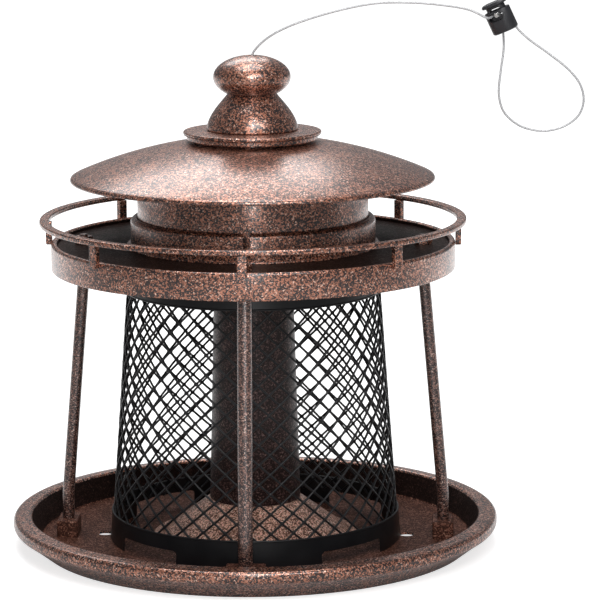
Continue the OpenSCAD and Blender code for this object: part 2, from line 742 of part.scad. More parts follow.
module lock_body() color(black) in_lock() difference() {
    translate([0, 0, -lock_drop]) linear_extrude(lock_drop + lock_rise) oval(lock_w, lock_d);
    translate([0, 0, pocket_z]) linear_extrude(lock_drop + lock_rise)
        oval(tongue_w + 2 * slide_gap, tongue_d + 2 * slide_gap);
    window_cut();
}

module lock_plunger() color(black) in_lock() difference() {
    union() {
        translate([0, 0, tongue_z]) linear_extrude(lock_rise + plunger_gap - tongue_z)
            oval(tongue_w, tongue_d);
        translate([0, 0, lock_rise + plunger_gap]) linear_extrude(plunger_cap_h)
            oval(lock_w, lock_d - 0.6);
    }
    translate([0, 0, plunger_travel]) window_cut();
}

module lock_spring() color(steel) in_lock() {
    span = tongue_z - pocket_z - spring_wire_d - 2 * fit_gap;
    steps = spring_turns * 12;
    tube([for (i = [0:steps]) let (a = 360 * spring_turns * i / steps) [
        spring_r * cos(a), spring_r * sin(a), pocket_z + fit_gap + spring_wire_d / 2 + span * i / steps
    ]], spring_wire_d);
}

module cable_crimp() color(steel) in_lock() translate([strand_x, -lock_d / 2 - crimp_gap, strand_z])
    rotate([90, 0, 0]) difference() {
        cylinder(r = crimp_r, h = crimp_l);
        translate([0, 0, -1]) cylinder(d = cable_d + 2 * fit_gap, h = crimp_l + 2);
    }

// ---- what is drawn ---------------------------------------------------------------------------

tray();
baffle_cone();
seed_column();
mesh_basket();
basket_bottom_band();
basket_top_band();
rotate(FRONT) post();  // post_front
rotate(FRONT + quarter) post();  // post_right
rotate(FRONT + 2 * quarter) post();  // post_back
rotate(FRONT + 3 * quarter) post();  // post_left
rotate(FRONT) foot_cap();  // foot_cap_front
rotate(FRONT + quarter) foot_cap();  // foot_cap_right
rotate(FRONT + 2 * quarter) foot_cap();  // foot_cap_back
rotate(FRONT + 3 * quarter) foot_cap();  // foot_cap_left
foot_screws();
post_nuts();
deck_pan();
neck_ring();
rail();
for (i = [0:7]) rotate(FRONT + eighth * i) baluster();
inner_cable();
cable_washer();
cable_ferrule();
roof_dome();
roof_skirt();
roof_peg();
roof_washer();
roof_nut();
roof_tube();
finial_flange();
finial_bell();
finial_ball();
hanger_cable();
cable_crimp();
lock_body();
lock_spring();
lock_plunger();
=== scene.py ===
from math import acos, asin, atan2, ceil, cos, pi, radians, sin, sqrt, tan

import bmesh
import bpy
from mathutils import Matrix, Vector


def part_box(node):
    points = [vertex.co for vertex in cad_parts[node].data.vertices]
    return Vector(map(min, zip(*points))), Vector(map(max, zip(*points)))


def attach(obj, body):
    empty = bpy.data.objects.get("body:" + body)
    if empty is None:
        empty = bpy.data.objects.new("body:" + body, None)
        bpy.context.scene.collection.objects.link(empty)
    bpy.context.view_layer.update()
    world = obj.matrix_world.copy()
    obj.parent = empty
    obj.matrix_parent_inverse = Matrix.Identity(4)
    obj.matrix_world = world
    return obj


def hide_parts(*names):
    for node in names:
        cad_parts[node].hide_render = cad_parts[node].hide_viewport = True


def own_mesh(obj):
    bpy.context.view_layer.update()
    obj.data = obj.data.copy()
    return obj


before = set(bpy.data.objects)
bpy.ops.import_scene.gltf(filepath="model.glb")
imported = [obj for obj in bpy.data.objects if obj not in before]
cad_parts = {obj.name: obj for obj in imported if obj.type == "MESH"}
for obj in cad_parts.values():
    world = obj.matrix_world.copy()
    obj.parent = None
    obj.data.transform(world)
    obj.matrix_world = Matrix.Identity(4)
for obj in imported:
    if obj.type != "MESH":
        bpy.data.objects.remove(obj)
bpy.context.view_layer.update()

# ---- The view --------------------------------------------------------------------------------
# A long lens stands 1.6 m in front of the feeder, a little above it and to its right, and looks
# slightly down, so that the round tray, deck and roof show as narrow ovals.
LOOK_DOWN = radians(10.236)
LOOK_ASIDE = radians(-2.149)
CAMERA_ROLL = radians(-0.327)
CAMERA_PLACE = (0.08374, -1.5978, 0.4157)
LENS, FILM = 189.9, 36
ahead = Vector((
    sin(LOOK_ASIDE) * cos(LOOK_DOWN), cos(LOOK_ASIDE) * cos(LOOK_DOWN), -sin(LOOK_DOWN)
))
level = Vector((cos(LOOK_ASIDE), -sin(LOOK_ASIDE), 0))
upward = level.cross(ahead)
camera = bpy.data.objects.new("camera", bpy.data.cameras.new("camera"))
camera.data.lens = LENS
camera.data.sensor_width = FILM
camera.matrix_world = Matrix.Translation(CAMERA_PLACE) @ Matrix((
    cos(CAMERA_ROLL) * level + sin(CAMERA_ROLL) * upward,
    cos(CAMERA_ROLL) * upward - sin(CAMERA_ROLL) * level,
    -ahead,
)).transposed().to_4x4()
bpy.context.scene.collection.objects.link(camera)
bpy.context.scene.camera = camera

# ---- Hanging cable ---------------------------------------------------------------------------
# Bare steel wire rope, six strands laid round a seventh. It comes out of the top of the finial,
# leans over to a cord lock, makes the hanging loop and ends in a crimp in front of the lock.
MM = 0.001
CABLE_D, CABLE_LENGTH = 1.2, 330
STRANDS, STRAND_LAY, STRAND_HOLLOW = 6, 7.5, 0.14
ROPE_STEP = 0.55
CABLE_ROUTE = [
    (0, 0, 246.3), (0, 0, 252), (1.2, 0, 255), (8.5, 0, 262), (24, 0, 269.5), (58.5, 0, 278.5),
    (80, -1, 279.5), (99.5, -3.5, 278), (109, -5.3, 276.4), (114, -6.1, 274.5), (116.8, -6.4, 273),
    (118.5, -6.1, 272.2), (119.9, -5, 271.9), (120.9, -3.2, 272.1), (124.5, 5.4, 273.9),
    (125.4, 7.6, 273.6), (126.1, 9.2, 272.1), (126.5, 9.7, 269.8), (127.4, 9.2, 263),
    (127.6, 7.4, 255), (126.1, 4.6, 244), (125.2, 2.5, 232.5), (127.6, 1.5, 224),
    (134.5, 1, 217.5), (142, 1, 214.7), (150, 1, 214.2), (159, 1, 216.8), (165.5, 1, 222),
    (168, 1.2, 229), (166.5, 1.8, 237), (161, 2.8, 244.5), (150, 4.4, 253.3), (140.3, 6.2, 260.2),
    (134.2, 7.4, 266), (131.8, 7.7, 270.4), (130.6, 7.1, 273.7), (129.3, 5.7, 275.3),
    (128, 3.3, 275.5), (124.4, -5.1, 273.9), (123.6, -7, 273.5),
]


def through(route, gap):
    """Points of a smooth curve through the points of a route, about gap apart."""
    route = [Vector(point) for point in route]
    route = [2 * route[0] - route[1]] + route + [2 * route[-1] - route[-2]]
    line = []
    for a, b, c, d in zip(route, route[1:], route[2:], route[3:]):
        u, v, w = sqrt((b - a).length), sqrt((c - b).length), sqrt((d - c).length)
        leave = v * ((b - a) / u - (c - a) / (u + v)) + (c - b)
        arrive = (c - b) - v * ((d - b) / (v + w) - (d - c) / w)
        parts = ceil((c - b).length / gap)
        for t in (k / parts for k in range(parts)):
            line.append((2 * t - 3) * t * t * (b - c) + b + leave * t * (1 - t) ** 2
                        - arrive * t * t * (1 - t))
    return line + [route[-2]]


def skin(name, rings, sharp=35, wrap=False):
    """A closed piece over rings of equal length, in millimetres: its ends capped, or joined by wrap."""
    count, n = len(rings), len(rings[0])
    faces = [
        (i * n + k, i * n + (k + 1) % n, (i + 1) % count * n + (k + 1) % n, (i + 1) % count * n + k)
        for i in range(count if wrap else count - 1) for k in range(n)
    ]
    if not wrap:
        faces += [tuple(range(n)), tuple(range((count - 1) * n, count * n))]
    mesh = bpy.data.meshes.new(name)
    mesh.from_pydata([Vector(v) * MM for ring in rings for v in ring], [], faces)
    tidy = bmesh.new()
    tidy.from_mesh(mesh)
    bmesh.ops.remove_doubles(tidy, verts=tidy.verts, dist=1e-7)
    bmesh.ops.recalc_face_normals(tidy, faces=tidy.faces)
    tidy.to_mesh(mesh)
    tidy.free()
    mesh.shade_smooth()
    mesh.set_sharp_from_angle(angle=radians(sharp))
    piece = bpy.data.objects.new(name, mesh)
    bpy.context.scene.collection.objects.link(piece)
    return piece


def laid_rope(name, line):
    """A wire rope along a line: round strands laid in a spiral, the grooves between them marked for painted
    shade.
    """
    side = Vector((0, 1, 0))
    rings, run, hollow_shades = [], 0.0, []
    around = 4 * STRANDS
    for i, point in enumerate(line):
        head = (line[min(i + 1, len(line) - 1)] - line[max(i - 1, 0)]).normalized()
        side = (side - side.dot(head) * head).normalized()
        run += (point - line[max(i - 1, 0)]).length
        ring = []
        for k in range(around):
            turn = 2 * pi * k / around
            crown = abs(cos(STRANDS * turn / 2))
            spin = turn + 2 * pi * run / STRAND_LAY
            out = CABLE_D / 2 * (1 - STRAND_HOLLOW + STRAND_HOLLOW * crown)
            ring.append(point + out * (cos(spin) * side + sin(spin) * head.cross(side)))
            hollow_shades.append(1 - crown)
        rings.append(ring)
    rope = skin(name, rings, sharp=70)
    rope.data.attributes.new("hollow_shade", "FLOAT", "POINT").data.foreach_set("value", hollow_shades)
    return rope


def add(tree, kind, sockets, **settings):
    """A node of one kind with its settings made and each named socket set or linked."""
    made = tree.nodes.new(kind)
    for key, value in settings.items():
        setattr(made, key, value)
    for key, value in sockets.items():
        if isinstance(value, bpy.types.NodeSocket):
            tree.links.new(value, made.inputs[key])
        else:
            made.inputs[key].default_value = value
    return made


def finish_of(name, **sockets):
    """A new material and its tree, with the plain values of its surface set on the shader."""
    material = bpy.data.materials.new(name)
    material.use_nodes = True
    surface = material.node_tree.nodes["Principled BSDF"]
    for key, value in sockets.items():
        surface.inputs[key.replace("_", " ")].default_value = value
    return material, material.node_tree, surface.inputs


def coat(piece, material):
    piece.data.materials.clear()
    piece.data.materials.append(material)
    return piece


def object_place(tree):
    return add(tree, "ShaderNodeTexCoord", {}).outputs["Object"]


def blend(tree, share, first, second):
    """A colour part way from the first to the second."""
    return add(tree, "ShaderNodeMix", {0: share, 6: first, 7: second}, data_type="RGBA").outputs[2]


def ranged(tree, value, low, high, to_low=0, to_high=1):
    """A value carried over from one range to another and kept inside it."""
    return add(tree, "ShaderNodeMapRange", {
        "Value": value, "From Min": low, "From Max": high, "To Min": to_low, "To Max": to_high,
    }).outputs["Result"]


rope_steel, tree, surface = finish_of("bare wire rope", Metallic=0.25)
hollow_shade = add(tree, "ShaderNodeAttribute", {}, attribute_name="hollow_shade").outputs["Fac"]
# the rope's colour is darker in the grooves between the strands: painted shade
tree.links.new(blend(tree, hollow_shade, (0.60, 0.60, 0.61, 1), (0.34, 0.34, 0.35, 1)), surface["Base Color"])
streaks = add(tree, "ShaderNodeTexNoise", {
    "Vector": object_place(tree), "Scale": 900, "Detail": 2,
}).outputs["Fac"]
tree.links.new(ranged(tree, streaks, 0, 1, 0.25, 0.5), surface["Roughness"])

cable_line = through(CABLE_ROUTE, ROPE_STEP)
hanger = coat(laid_rope("hanging_cable", cable_line), rope_steel)
inner_low, inner_high = (corner.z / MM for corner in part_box("inner_cable"))
inner = coat(laid_rope("inner_cable_rope", [
    Vector((0, 0, inner_low + (inner_high - inner_low) * i / 300)) for i in range(301)
]), rope_steel)
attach(inner, "feeder")
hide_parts("inner_cable")

# ---- Cord lock -------------------------------------------------------------------------------
# A black moulded barrel lock on the cable. A plunger with a domed cap slides in the barrel on a
# steel coil spring, and both strands of the loop pass through the window that runs through both.
FIT_GAP = 0.05
LOCK_W, LOCK_D = 14.0, 9.0
LOCK_DROP, LOCK_RISE = 8.8, 3.1
WINDOW_W, WINDOW_H = 8.6, 4.2
TONGUE_W, TONGUE_D = 10.4, 5.4
TRAVEL = 2.0
CAP_LOW = LOCK_RISE + TRAVEL + 0.3
POCKET_FLOOR = 1.6 - LOCK_DROP
TONGUE_FOOT = TRAVEL - WINDOW_H / 2 - 2.2
SPRING_R, SPRING_WIRE_R, SPRING_TURNS = 1.7, 0.25, 4
LOCK_PLACE, LOCK_TILT, LOCK_TURN = (125, 0, 273), radians(-25), radians(-25)
in_lock = (Matrix.Translation(LOCK_PLACE) @ Matrix.Rotation(LOCK_TILT, 4, "Y")
           @ Matrix.Rotation(LOCK_TURN, 4, "Z"))


def flat_oval(w, d, sides=12):
    """The outline of a flat-sided oval, w along X and d along Y."""
    return [
        (end * (w - d) / 2 + d / 2 * cos(a), d / 2 * sin(a))
        for end, start in ((1, -pi / 2), (-1, pi / 2))
        for a in (start + pi * k / sides for k in range(sides + 1))
    ]


def oval_stack(name, w, d, levels, place=Matrix(), sharp=35):
    """A piece built of flat-sided ovals, one at each (height, inset)."""
    return skin(name, [
        [place @ Vector((x, y, z)) for x, y in flat_oval(w - 2 * inset, d - 2 * inset)]
        for z, inset in levels
    ], sharp)


def worked(piece, modifiers):
    """The piece with modifiers worked into its mesh; each is (kind, settings)."""
    for kind, settings in modifiers:
        modifier = piece.modifiers.new(kind, kind)
        for key, value in settings.items():
            setattr(modifier, key, value)
    seen = piece.evaluated_get(bpy.context.evaluated_depsgraph_get())
    mesh = bpy.data.meshes.new_from_object(seen)
    piece.modifiers.clear()
    piece.data = mesh
    return piece


def cut(piece, *cutters, how="DIFFERENCE", sharp=35):
    """The piece with cutters taken from it, joined to it or kept in common with it."""
    for cutter in cutters:
        worked(piece, [("BOOLEAN", {"operation": how, "object": cutter, "solver": "EXACT"})])
        bpy.data.objects.remove(cutter)
    piece.data.shade_smooth()
    piece.data.set_sharp_from_angle(angle=radians(sharp))
    return piece


def window(lift):
    """The slot from front to back of the lock, lift above its own place."""
    upright = in_lock @ Matrix.Translation((0, 0, lift)) @ Matrix.Rotation(pi / 2, 4, "X")
    return oval_stack("window", WINDOW_W, WINDOW_H, [(-8, 0), (8, 0)], upright)


def circle(count):
    """The angles of points set evenly round a circle."""
    return [2 * pi * k / count for k in range(count)]


def math(tree, how, *values):
    return add(tree, "ShaderNodeMath", dict(enumerate(values)), operation=how).outputs[0]


grain_group = bpy.data.node_groups.new("moulded grain", "ShaderNodeTree")
grain_group.interface.new_socket("Grain Size", in_out="INPUT", socket_type="NodeSocketFloat")
grain_group.interface.new_socket("Height", in_out="OUTPUT", socket_type="NodeSocketFloat")
grain_group.interface.new_socket("Patches", in_out="OUTPUT", socket_type="NodeSocketFloat")
grain_in = add(grain_group, "NodeGroupInput", {}).outputs
grain_place = object_place(grain_group)
grain_scale = math(grain_group, "DIVIDE", 1.0, grain_in["Grain Size"])
fine = add(grain_group, "ShaderNodeTexNoise", {
    "Vector": grain_place, "Scale": grain_scale, "Detail": 3, "Roughness": 0.6,
})
patches = add(grain_group, "ShaderNodeTexNoise", {"Vector": grain_place, "Scale": 70, "Detail": 3})
add(grain_group, "NodeGroupOutput", {
    "Height": fine.outputs["Fac"], "Patches": patches.outputs["Fac"],
})


def grained(name, colour, pale, grain_size, depth, rough, **sockets):
    """A plain coloured finish whose grain, patches of tone and gloss come from the grain group."""
    material, tree, surface = finish_of(name, **sockets)
    grain = add(tree, "ShaderNodeGroup", {}, node_tree=grain_group)
    grain.inputs["Grain Size"].default_value = grain_size
    tree.links.new(blend(tree, grain.outputs["Patches"], (*colour, 1), (*pale, 1)), surface["Base Color"])
    tree.links.new(ranged(tree, grain.outputs["Patches"], 0.3, 0.7, rough - 0.06, rough + 0.06),
                   surface["Roughness"])
    tree.links.new(add(tree, "ShaderNodeBump", {
        "Height": grain.outputs["Height"], "Strength": 0.6, "Distance": depth,
    }).outputs["Normal"], surface["Normal"])
    return material


lock_plastic = grained("black moulded plastic", (0.010, 0.010, 0.012), (0.028, 0.028, 0.032),
                       0.0004, 0.00003, 0.42)
barrel = oval_stack("lock_barrel", LOCK_W, LOCK_D, [
    (-LOCK_DROP, 0.9), (-LOCK_DROP + 0.25, 0.4), (-LOCK_DROP + 0.9, 0), (LOCK_RISE - 0.5, 0),
    (LOCK_RISE - 0.12, 0.15), (LOCK_RISE, 0.5),
], in_lock)
pocket = oval_stack("pocket", TONGUE_W + 0.6, TONGUE_D + 0.6, [(POCKET_FLOOR, 0), (20, 0)], in_lock)
coat(cut(barrel, pocket, window(0)), lock_plastic)
plunger = oval_stack("lock_plunger_cap", LOCK_W, LOCK_D - 0.6, [
    (CAP_LOW, 0.35), (CAP_LOW + 0.3, 0), (CAP_LOW + 0.9, 0), (CAP_LOW + 1.5, 0.45),
    (CAP_LOW + 1.85, 1.2), (CAP_LOW + 2, 2.4),
], in_lock)
tongue = oval_stack("tongue", TONGUE_W, TONGUE_D, [
    (TONGUE_FOOT, 0.3), (TONGUE_FOOT + 0.3, 0), (CAP_LOW + 0.6, 0),
], in_lock)
cut(plunger, tongue, how="UNION")
coat(cut(plunger, window(TRAVEL)), lock_plastic)

plated = grained("zinc plating", (0.50, 0.50, 0.52), (0.66, 0.65, 0.62), 0.0006, 0.00001, 0.34,
                 Metallic=1.0)
crimp_axis = in_lock @ Matrix.Translation((2, -LOCK_D / 2 - 0.4, 1)) @ Matrix.Rotation(pi / 2, 4, "X")
crimp = coat(skin("loop_crimp", [
    [crimp_axis @ Vector((out * cos(a), flat * out * sin(a), z))
     for a in circle(24)]
    for z, out, flat in (
        (0, 0.62, 1), (0, 1.0, 1), (0.15, 1.1, 1), (0.6, 1.1, 1), (0.8, 1.05, 0.85), (1.8, 1.05, 0.85),
        (2.0, 1.1, 1), (2.45, 1.1, 1), (2.6, 1.0, 1), (2.6, 0.62, 1),
    )
]), plated)
coil_low = POCKET_FLOOR + FIT_GAP + SPRING_WIRE_R
coil_rise = TONGUE_FOOT - FIT_GAP - SPRING_WIRE_R - coil_low
coil = []
for share in (k / 96 for k in range(97)):
    a = 2 * pi * SPRING_TURNS * share
    coil.append([
        in_lock @ Vector((r * cos(a), r * sin(a), coil_low + coil_rise * share + SPRING_WIRE_R * sin(b)))
        for r, b in ((SPRING_R + SPRING_WIRE_R * cos(b), b) for b in circle(10))
    ])
spring = coat(skin("lock_coil_spring", coil, sharp=60), plated)
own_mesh(spring)

for piece, node, body, slot in (
    (hanger, "hanger_cable", "roof", "cable_steel"), (barrel, "lock_body", "roof", "lock_plastic"),
    (plunger, "lock_plunger", "plunger", "lock_plastic"), (crimp, "cable_crimp", "roof", "plated_steel"),
    (spring, "lock_spring", "roof", "plated_steel"),
):
    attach(piece, body)
    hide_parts(node)

# ---- Tray ------------------------------------------------------------------------------------
# A round seed tray spun from one steel sheet. Its rim is rolled over into a hollow lip that comes
# back under as the foot ring, and four drain holes are punched in its floor.
SHEET_T = 1.2
DRAIN_R, DRAIN_PCD_R = 4.0, 78.5
DIMPLE_R, DIMPLE_H = 11, 6
CREST_IN, WALL_RUN, RIM_FALL, RIM_H = 8.6, 5.4, 1.5, 6
KNEE_IN, KNEE_DROP, FOOT_RING_W = 6.2, 9.9, 3.4


def reach(node):
    """How far a CAD node reaches, in millimetres: out from the axis, lowest and highest."""
    low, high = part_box(node)
    return max(high.x, -low.x, high.y, -low.y) / MM, low.z / MM, high.z / MM


def rounded(points, radii, steps=9):
    """A path of (radius, height) points with its corners rounded by the radii given."""
    points = [Vector(point) for point in points]
    path = []
    for i, (b, r) in enumerate(zip(points, radii)):
        if not r:
            path.append(b)
            continue
        u, v = (points[i - 1] - b).normalized(), (points[i + 1] - b).normalized()
        half = acos(u.dot(v)) / 2
        middle = b + (u + v).normalized() * (r / sin(half))
        start, end = b + u * (r / tan(half)) - middle, b + v * (r / tan(half)) - middle
        first = atan2(start.y, start.x)
        turn = (atan2(end.y, end.x) - first + 3 * pi) % (2 * pi) - pi
        path += [middle + r * Vector((cos(first + turn * k / steps), sin(first + turn * k / steps)))
                 for k in range(steps + 1)]
    return path


def sheet_outline(path, thickness):
    """The closed section of a sheet whose middle follows a path, its two edges rounded over."""
    path = [Vector(point) for point in path]
    half = thickness / 2
    for end, after in ((0, 1), (-1, -2)):
        path[end] = path[end] + (path[after] - path[end]).normalized() * half
    near, far = [], []
    for i, point in enumerate(path):
        before = (point - path[i - 1]).normalized() if i else (path[1] - point).normalized()
        after = (path[i + 1] - point).normalized() if i + 1 < len(path) else before
        across = (before.orthogonal() + after.orthogonal()).normalized()
        across *= half / across.dot(after.orthogonal())
        near.append(point + across)
        far.append(point - across)

    def rounded_edge(centre, start):
        return [centre + Matrix.Rotation(-pi * k / 5, 2) @ start for k in range(1, 5)]

    return (near + rounded_edge(path[-1], near[-1] - path[-1]) + far[::-1]
            + rounded_edge(path[0], far[0] - path[0]))


def turned(name, outline, sides=192, sharp=35):
    """A closed outline of (radius, height) turned round the feeder's axis."""
    return skin(name, [
        [(r * cos(a), r * sin(a), z) for r, z in outline]
        for a in circle(sides)
    ], sharp, wrap=True)


def rod(x, y, r, low, high, sides=48):
    """An upright round cutter."""
    return skin("rod", [
        [(x + r * cos(a), y + r * sin(a), z) for a in circle(sides)]
        for z in (low, high)
    ])


flake_group = bpy.data.node_groups.new("copper flake", "ShaderNodeTree")
for socket, kind in (
    ("Ground", "Color"), ("Flake", "Color"), ("Glint", "Color"), ("Flake Size", "Float"),
    ("Cover", "Float"),
):
    flake_group.interface.new_socket(socket, in_out="INPUT", socket_type="NodeSocket" + kind)
for socket, kind in (("Color", "Color"), ("Roughness", "Float"), ("Height", "Float")):
    flake_group.interface.new_socket(socket, in_out="OUTPUT", socket_type="NodeSocket" + kind)
flake_in = add(flake_group, "NodeGroupInput", {}).outputs
flake_place = object_place(flake_group)
flake_scale = math(flake_group, "DIVIDE", 1.0, flake_in["Flake Size"])
cells = add(flake_group, "ShaderNodeTexVoronoi", {"Vector": flake_place, "Scale": flake_scale})
chance = add(flake_group, "ShaderNodeSeparateColor", {"Color": cells.outputs["Color"]}).outputs
clouds = add(flake_group, "ShaderNodeTexNoise", {"Vector": flake_place, "Scale": 90, "Detail": 3})
# a cell is a flake where its chance, the drifts of the coat and the cover asked for add up
drift = math(flake_group, "MULTIPLY_ADD", clouds.outputs["Fac"], 0.6, chance["Red"])
flake_mask = ranged(flake_group, math(flake_group, "ADD", drift, flake_in["Cover"]), 1.2, 1.5)
glint_mask = ranged(flake_group, math(flake_group, "MULTIPLY", chance["Green"], flake_mask), 0.7, 1)
flaked = blend(flake_group, flake_mask, flake_in["Ground"], flake_in["Flake"])
add(flake_group, "NodeGroupOutput", {
    "Color": blend(flake_group, glint_mask, flaked, flake_in["Glint"]),
    "Roughness": ranged(flake_group, flake_mask, 0, 1, 0.5, 0.36),
    "Height": chance["Blue"],
})


def flaked_coat(name, ground, flake, glint, size, cover, metallic, gloss):
    """Powder coat over steel: dark ground, copper flakes and a clear gloss over both."""
    material, tree, surface = finish_of(name, Metallic=metallic, Coat_Weight=gloss, Coat_Roughness=0.27,
                                        Coat_IOR=1.65, Specular_IOR_Level=0.05 + 0.25 * gloss)
    flakes = add(tree, "ShaderNodeGroup", {}, node_tree=flake_group)
    for key, value in (
        ("Ground", (*ground, 1)), ("Flake", (*flake, 1)), ("Glint", (*glint, 1)),
        ("Flake Size", size), ("Cover", cover),
    ):
        flakes.inputs[key].default_value = value
    tree.links.new(flakes.outputs["Color"], surface["Base Color"])
    tree.links.new(flakes.outputs["Roughness"], surface["Roughness"])
    tree.links.new(add(tree, "ShaderNodeBump", {
        "Height": flakes.outputs["Height"], "Strength": 0.5, "Distance": 0.0001,
    }).outputs["Normal"], surface["Normal"])
    return material


# the same coat is bright outside; copies of it darkened as painted shade are brown and matt on the tray's
# floor and foot caps, and nearly black on the tray's inner wall and inside the deck
FLAKE_SIZE = 0.0006
copper_coat = flaked_coat("antique copper coat", (0.026, 0.010, 0.008), (0.50, 0.195, 0.115),
                          (0.92, 0.62, 0.50), FLAKE_SIZE, cover=0.45, metallic=0.75, gloss=1)
painted_shade_coat = flaked_coat("copper coat with painted shade", (0.040, 0.016, 0.011), (0.180, 0.076, 0.052),
                          (0.34, 0.18, 0.13), FLAKE_SIZE, cover=0.35, metallic=0, gloss=0)
painted_deep_shade_coat = flaked_coat("copper coat with painted deep shade", (0.010, 0.005, 0.004), (0.030, 0.014, 0.011),
                          (0.060, 0.035, 0.028), FLAKE_SIZE, cover=0.3, metallic=0, gloss=0)

rim_r, _, rim_z = reach("tray")
_, floor_z, band_high_z = reach("basket_bottom_band")
sheet_mid = SHEET_T / 2
floor_mid = floor_z - sheet_mid
crest_r = rim_r - CREST_IN
wall_foot_r = crest_r - WALL_RUN
foot_ring_r = wall_foot_r - sheet_mid
tray = turned("seed_tray", sheet_outline(rounded([
    (1.2, floor_mid + DIMPLE_H), (DIMPLE_R, floor_mid + DIMPLE_H), (DIMPLE_R + DIMPLE_H, floor_mid),
    (wall_foot_r, floor_mid), (crest_r, rim_z - sheet_mid), (rim_r - sheet_mid, rim_z - RIM_FALL),
    (rim_r - sheet_mid, rim_z - RIM_H), (rim_r - KNEE_IN, rim_z - KNEE_DROP),
    (foot_ring_r, sheet_mid), (foot_ring_r - FOOT_RING_W, sheet_mid),
], [0, 2, 2, 2, 1.5, 2, 2, 6, 0.8, 0]), SHEET_T))
coat(cut(tray, *(
    rod(DRAIN_PCD_R * x, DRAIN_PCD_R * y, DRAIN_R, 0, 5) for x, y in ((0, -1), (1, 0), (0, 1), (-1, 0))
)), copper_coat)
tray.data.materials.append(painted_shade_coat)
tray.data.materials.append(painted_deep_shade_coat)
# faces of the tray's floor get the brown painted shade, those of its inner wall the black painted shade
for face in tray.data.polygons:
    out = sqrt(face.center.x ** 2 + face.center.y ** 2) / MM
    up = face.center.z / MM - floor_z
    inside = out < crest_r - SHEET_T and up > -0.1 and face.normal.z > 0
    face.material_index = int(inside) + int(inside and up > 1.5)
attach(tray, "feeder")
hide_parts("tray")

# ---- Seed column and baffle cone -------------------------------------------------------------
# The cone sheds seed outwards to the ports. It is pressed from sheet and holds the foot of the
# tapered steel column that keeps the hanging cable clear of the seed.
cone_r, _, collar_z = reach("baffle_cone")
column_r, cone_top_z, column_z = reach("seed_column")
THIN_T, COLUMN_TOP_R, COLLAR_IN, CONE_FOOT_W = 1, 20.0, 2.1, 3
thin_mid = THIN_T / 2
column_coat = flaked_coat("dark copper coat", (0.022, 0.012, 0.011), (0.115, 0.066, 0.060),
                          (0.24, 0.15, 0.13), FLAKE_SIZE, cover=0.3, metallic=0.3, gloss=0.3)
# the cone's coat is a paler copy of the copper coat: painted light
painted_light_cone_coat = flaked_coat("copper coat with painted light", (0.15, 0.072, 0.052), (0.85, 0.49, 0.37),
                        (0.95, 0.76, 0.64), FLAKE_SIZE, cover=0.5, metallic=0.1, gloss=0.4)
cone = coat(turned("baffle_cone_pressing", sheet_outline(rounded([
    (column_r - COLLAR_IN, collar_z), (column_r - COLLAR_IN, cone_top_z - thin_mid),
    (column_r + 0.6, cone_top_z - thin_mid), (cone_r - CONE_FOOT_W, floor_z + thin_mid),
    (cone_r, floor_z + thin_mid),
], [0, 0.8, 0.8, 1.5, 0]), THIN_T), 128), painted_light_cone_coat)
column = coat(turned("seed_column_tube", sheet_outline(rounded([
    (column_r - thin_mid, cone_top_z), (COLUMN_TOP_R - thin_mid, column_z - thin_mid),
    (1.2, column_z - thin_mid),
], [0, 3, 0]), THIN_T), 128), column_coat)
for piece, node in ((cone, "baffle_cone"), (column, "seed_column")):
    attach(piece, "feeder")
    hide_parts(node)

# ---- Mesh basket -----------------------------------------------------------------------------
# Expanded steel mesh rolled into a slightly tapered tube and coated black: two sets of strands
# cross at thickened knuckles. A ring of sheet clamps each end, the lower one with four seed ports.
DIAMONDS_ROUND = 40
DIAMOND_H = 9.75
STRAND_R = 0.6
KNUCKLE = (1.1, 2.2, 1.8)
RING_T, BEAD_R = 0.6, 0.55
PORT_W, PORT_H, PORT_CORNER = 41.0, 7.5, 2.5


def named_inputs(tree, inputs):
    """The named inputs of a geometry tree and its one output."""
    for name, kind in inputs:
        tree.interface.new_socket(name, in_out="INPUT", socket_type="NodeSocket" + kind)
    tree.interface.new_socket("Geometry", in_out="OUTPUT", socket_type="NodeSocketGeometry")
    return add(tree, "NodeGroupInput", {}).outputs


def grown(piece, tree, **values):
    """The piece with a geometry tree worked into its mesh, its inputs set by name."""
    modifier = piece.modifiers.new(tree.name, "NODES")
    modifier.node_group = tree
    for item in tree.interface.items_tree:
        if item.in_out == "INPUT" and item.name in values:
            modifier[item.identifier] = values[item.name]
    return worked(piece, [])


lattice = bpy.data.node_groups.new("diamond mesh", "GeometryNodeTree")
given = named_inputs(lattice, [
    ("Geometry", "Geometry"), ("Round", "Int"), ("Rows", "Int"), ("Low_Radius", "Float"),
    ("High_Radius", "Float"), ("Low", "Float"), ("Height", "Float"), ("Strand", "Float"),
    ("Finish", "Material"),
])
turns = math(lattice, "DIVIDE", given["Rows"], math(lattice, "MULTIPLY", given["Round"], 2.0))
step = math(lattice, "DIVIDE", 2 * pi, given["Round"])
index = add(lattice, "GeometryNodeInputIndex", {}).outputs[0]
starts = add(lattice, "GeometryNodeMeshLine", {"Count": given["Round"], "Offset": (0, 0, 0)}).outputs[0]
start_turn = add(lattice, "ShaderNodeCombineXYZ", {"Z": math(lattice, "MULTIPLY", index, step)}).outputs[0]
lift = add(lattice, "ShaderNodeCombineXYZ", {"Z": given["Low"]}).outputs[0]
wire_section = add(lattice, "GeometryNodeCurvePrimitiveCircle", {
    "Resolution": 6, "Radius": given["Strand"],
}).outputs[0]
parts = add(lattice, "GeometryNodeJoinGeometry", {})
for clockwise in (False, True):
    strand = add(lattice, "GeometryNodeCurveSpiral", {
        "Resolution": 100, "Rotations": turns, "Start Radius": given["Low_Radius"],
        "End Radius": given["High_Radius"], "Height": given["Height"], "Reverse": clockwise,
    }).outputs[0]
    wires = add(lattice, "GeometryNodeCurveToMesh", {
        "Curve": strand, "Profile Curve": wire_section, "Fill Caps": True,
    }).outputs[0]
    lattice.links.new(add(lattice, "GeometryNodeInstanceOnPoints", {
        "Points": starts, "Instance": wires, "Rotation": start_turn,
    }).outputs[0], parts.inputs[0])
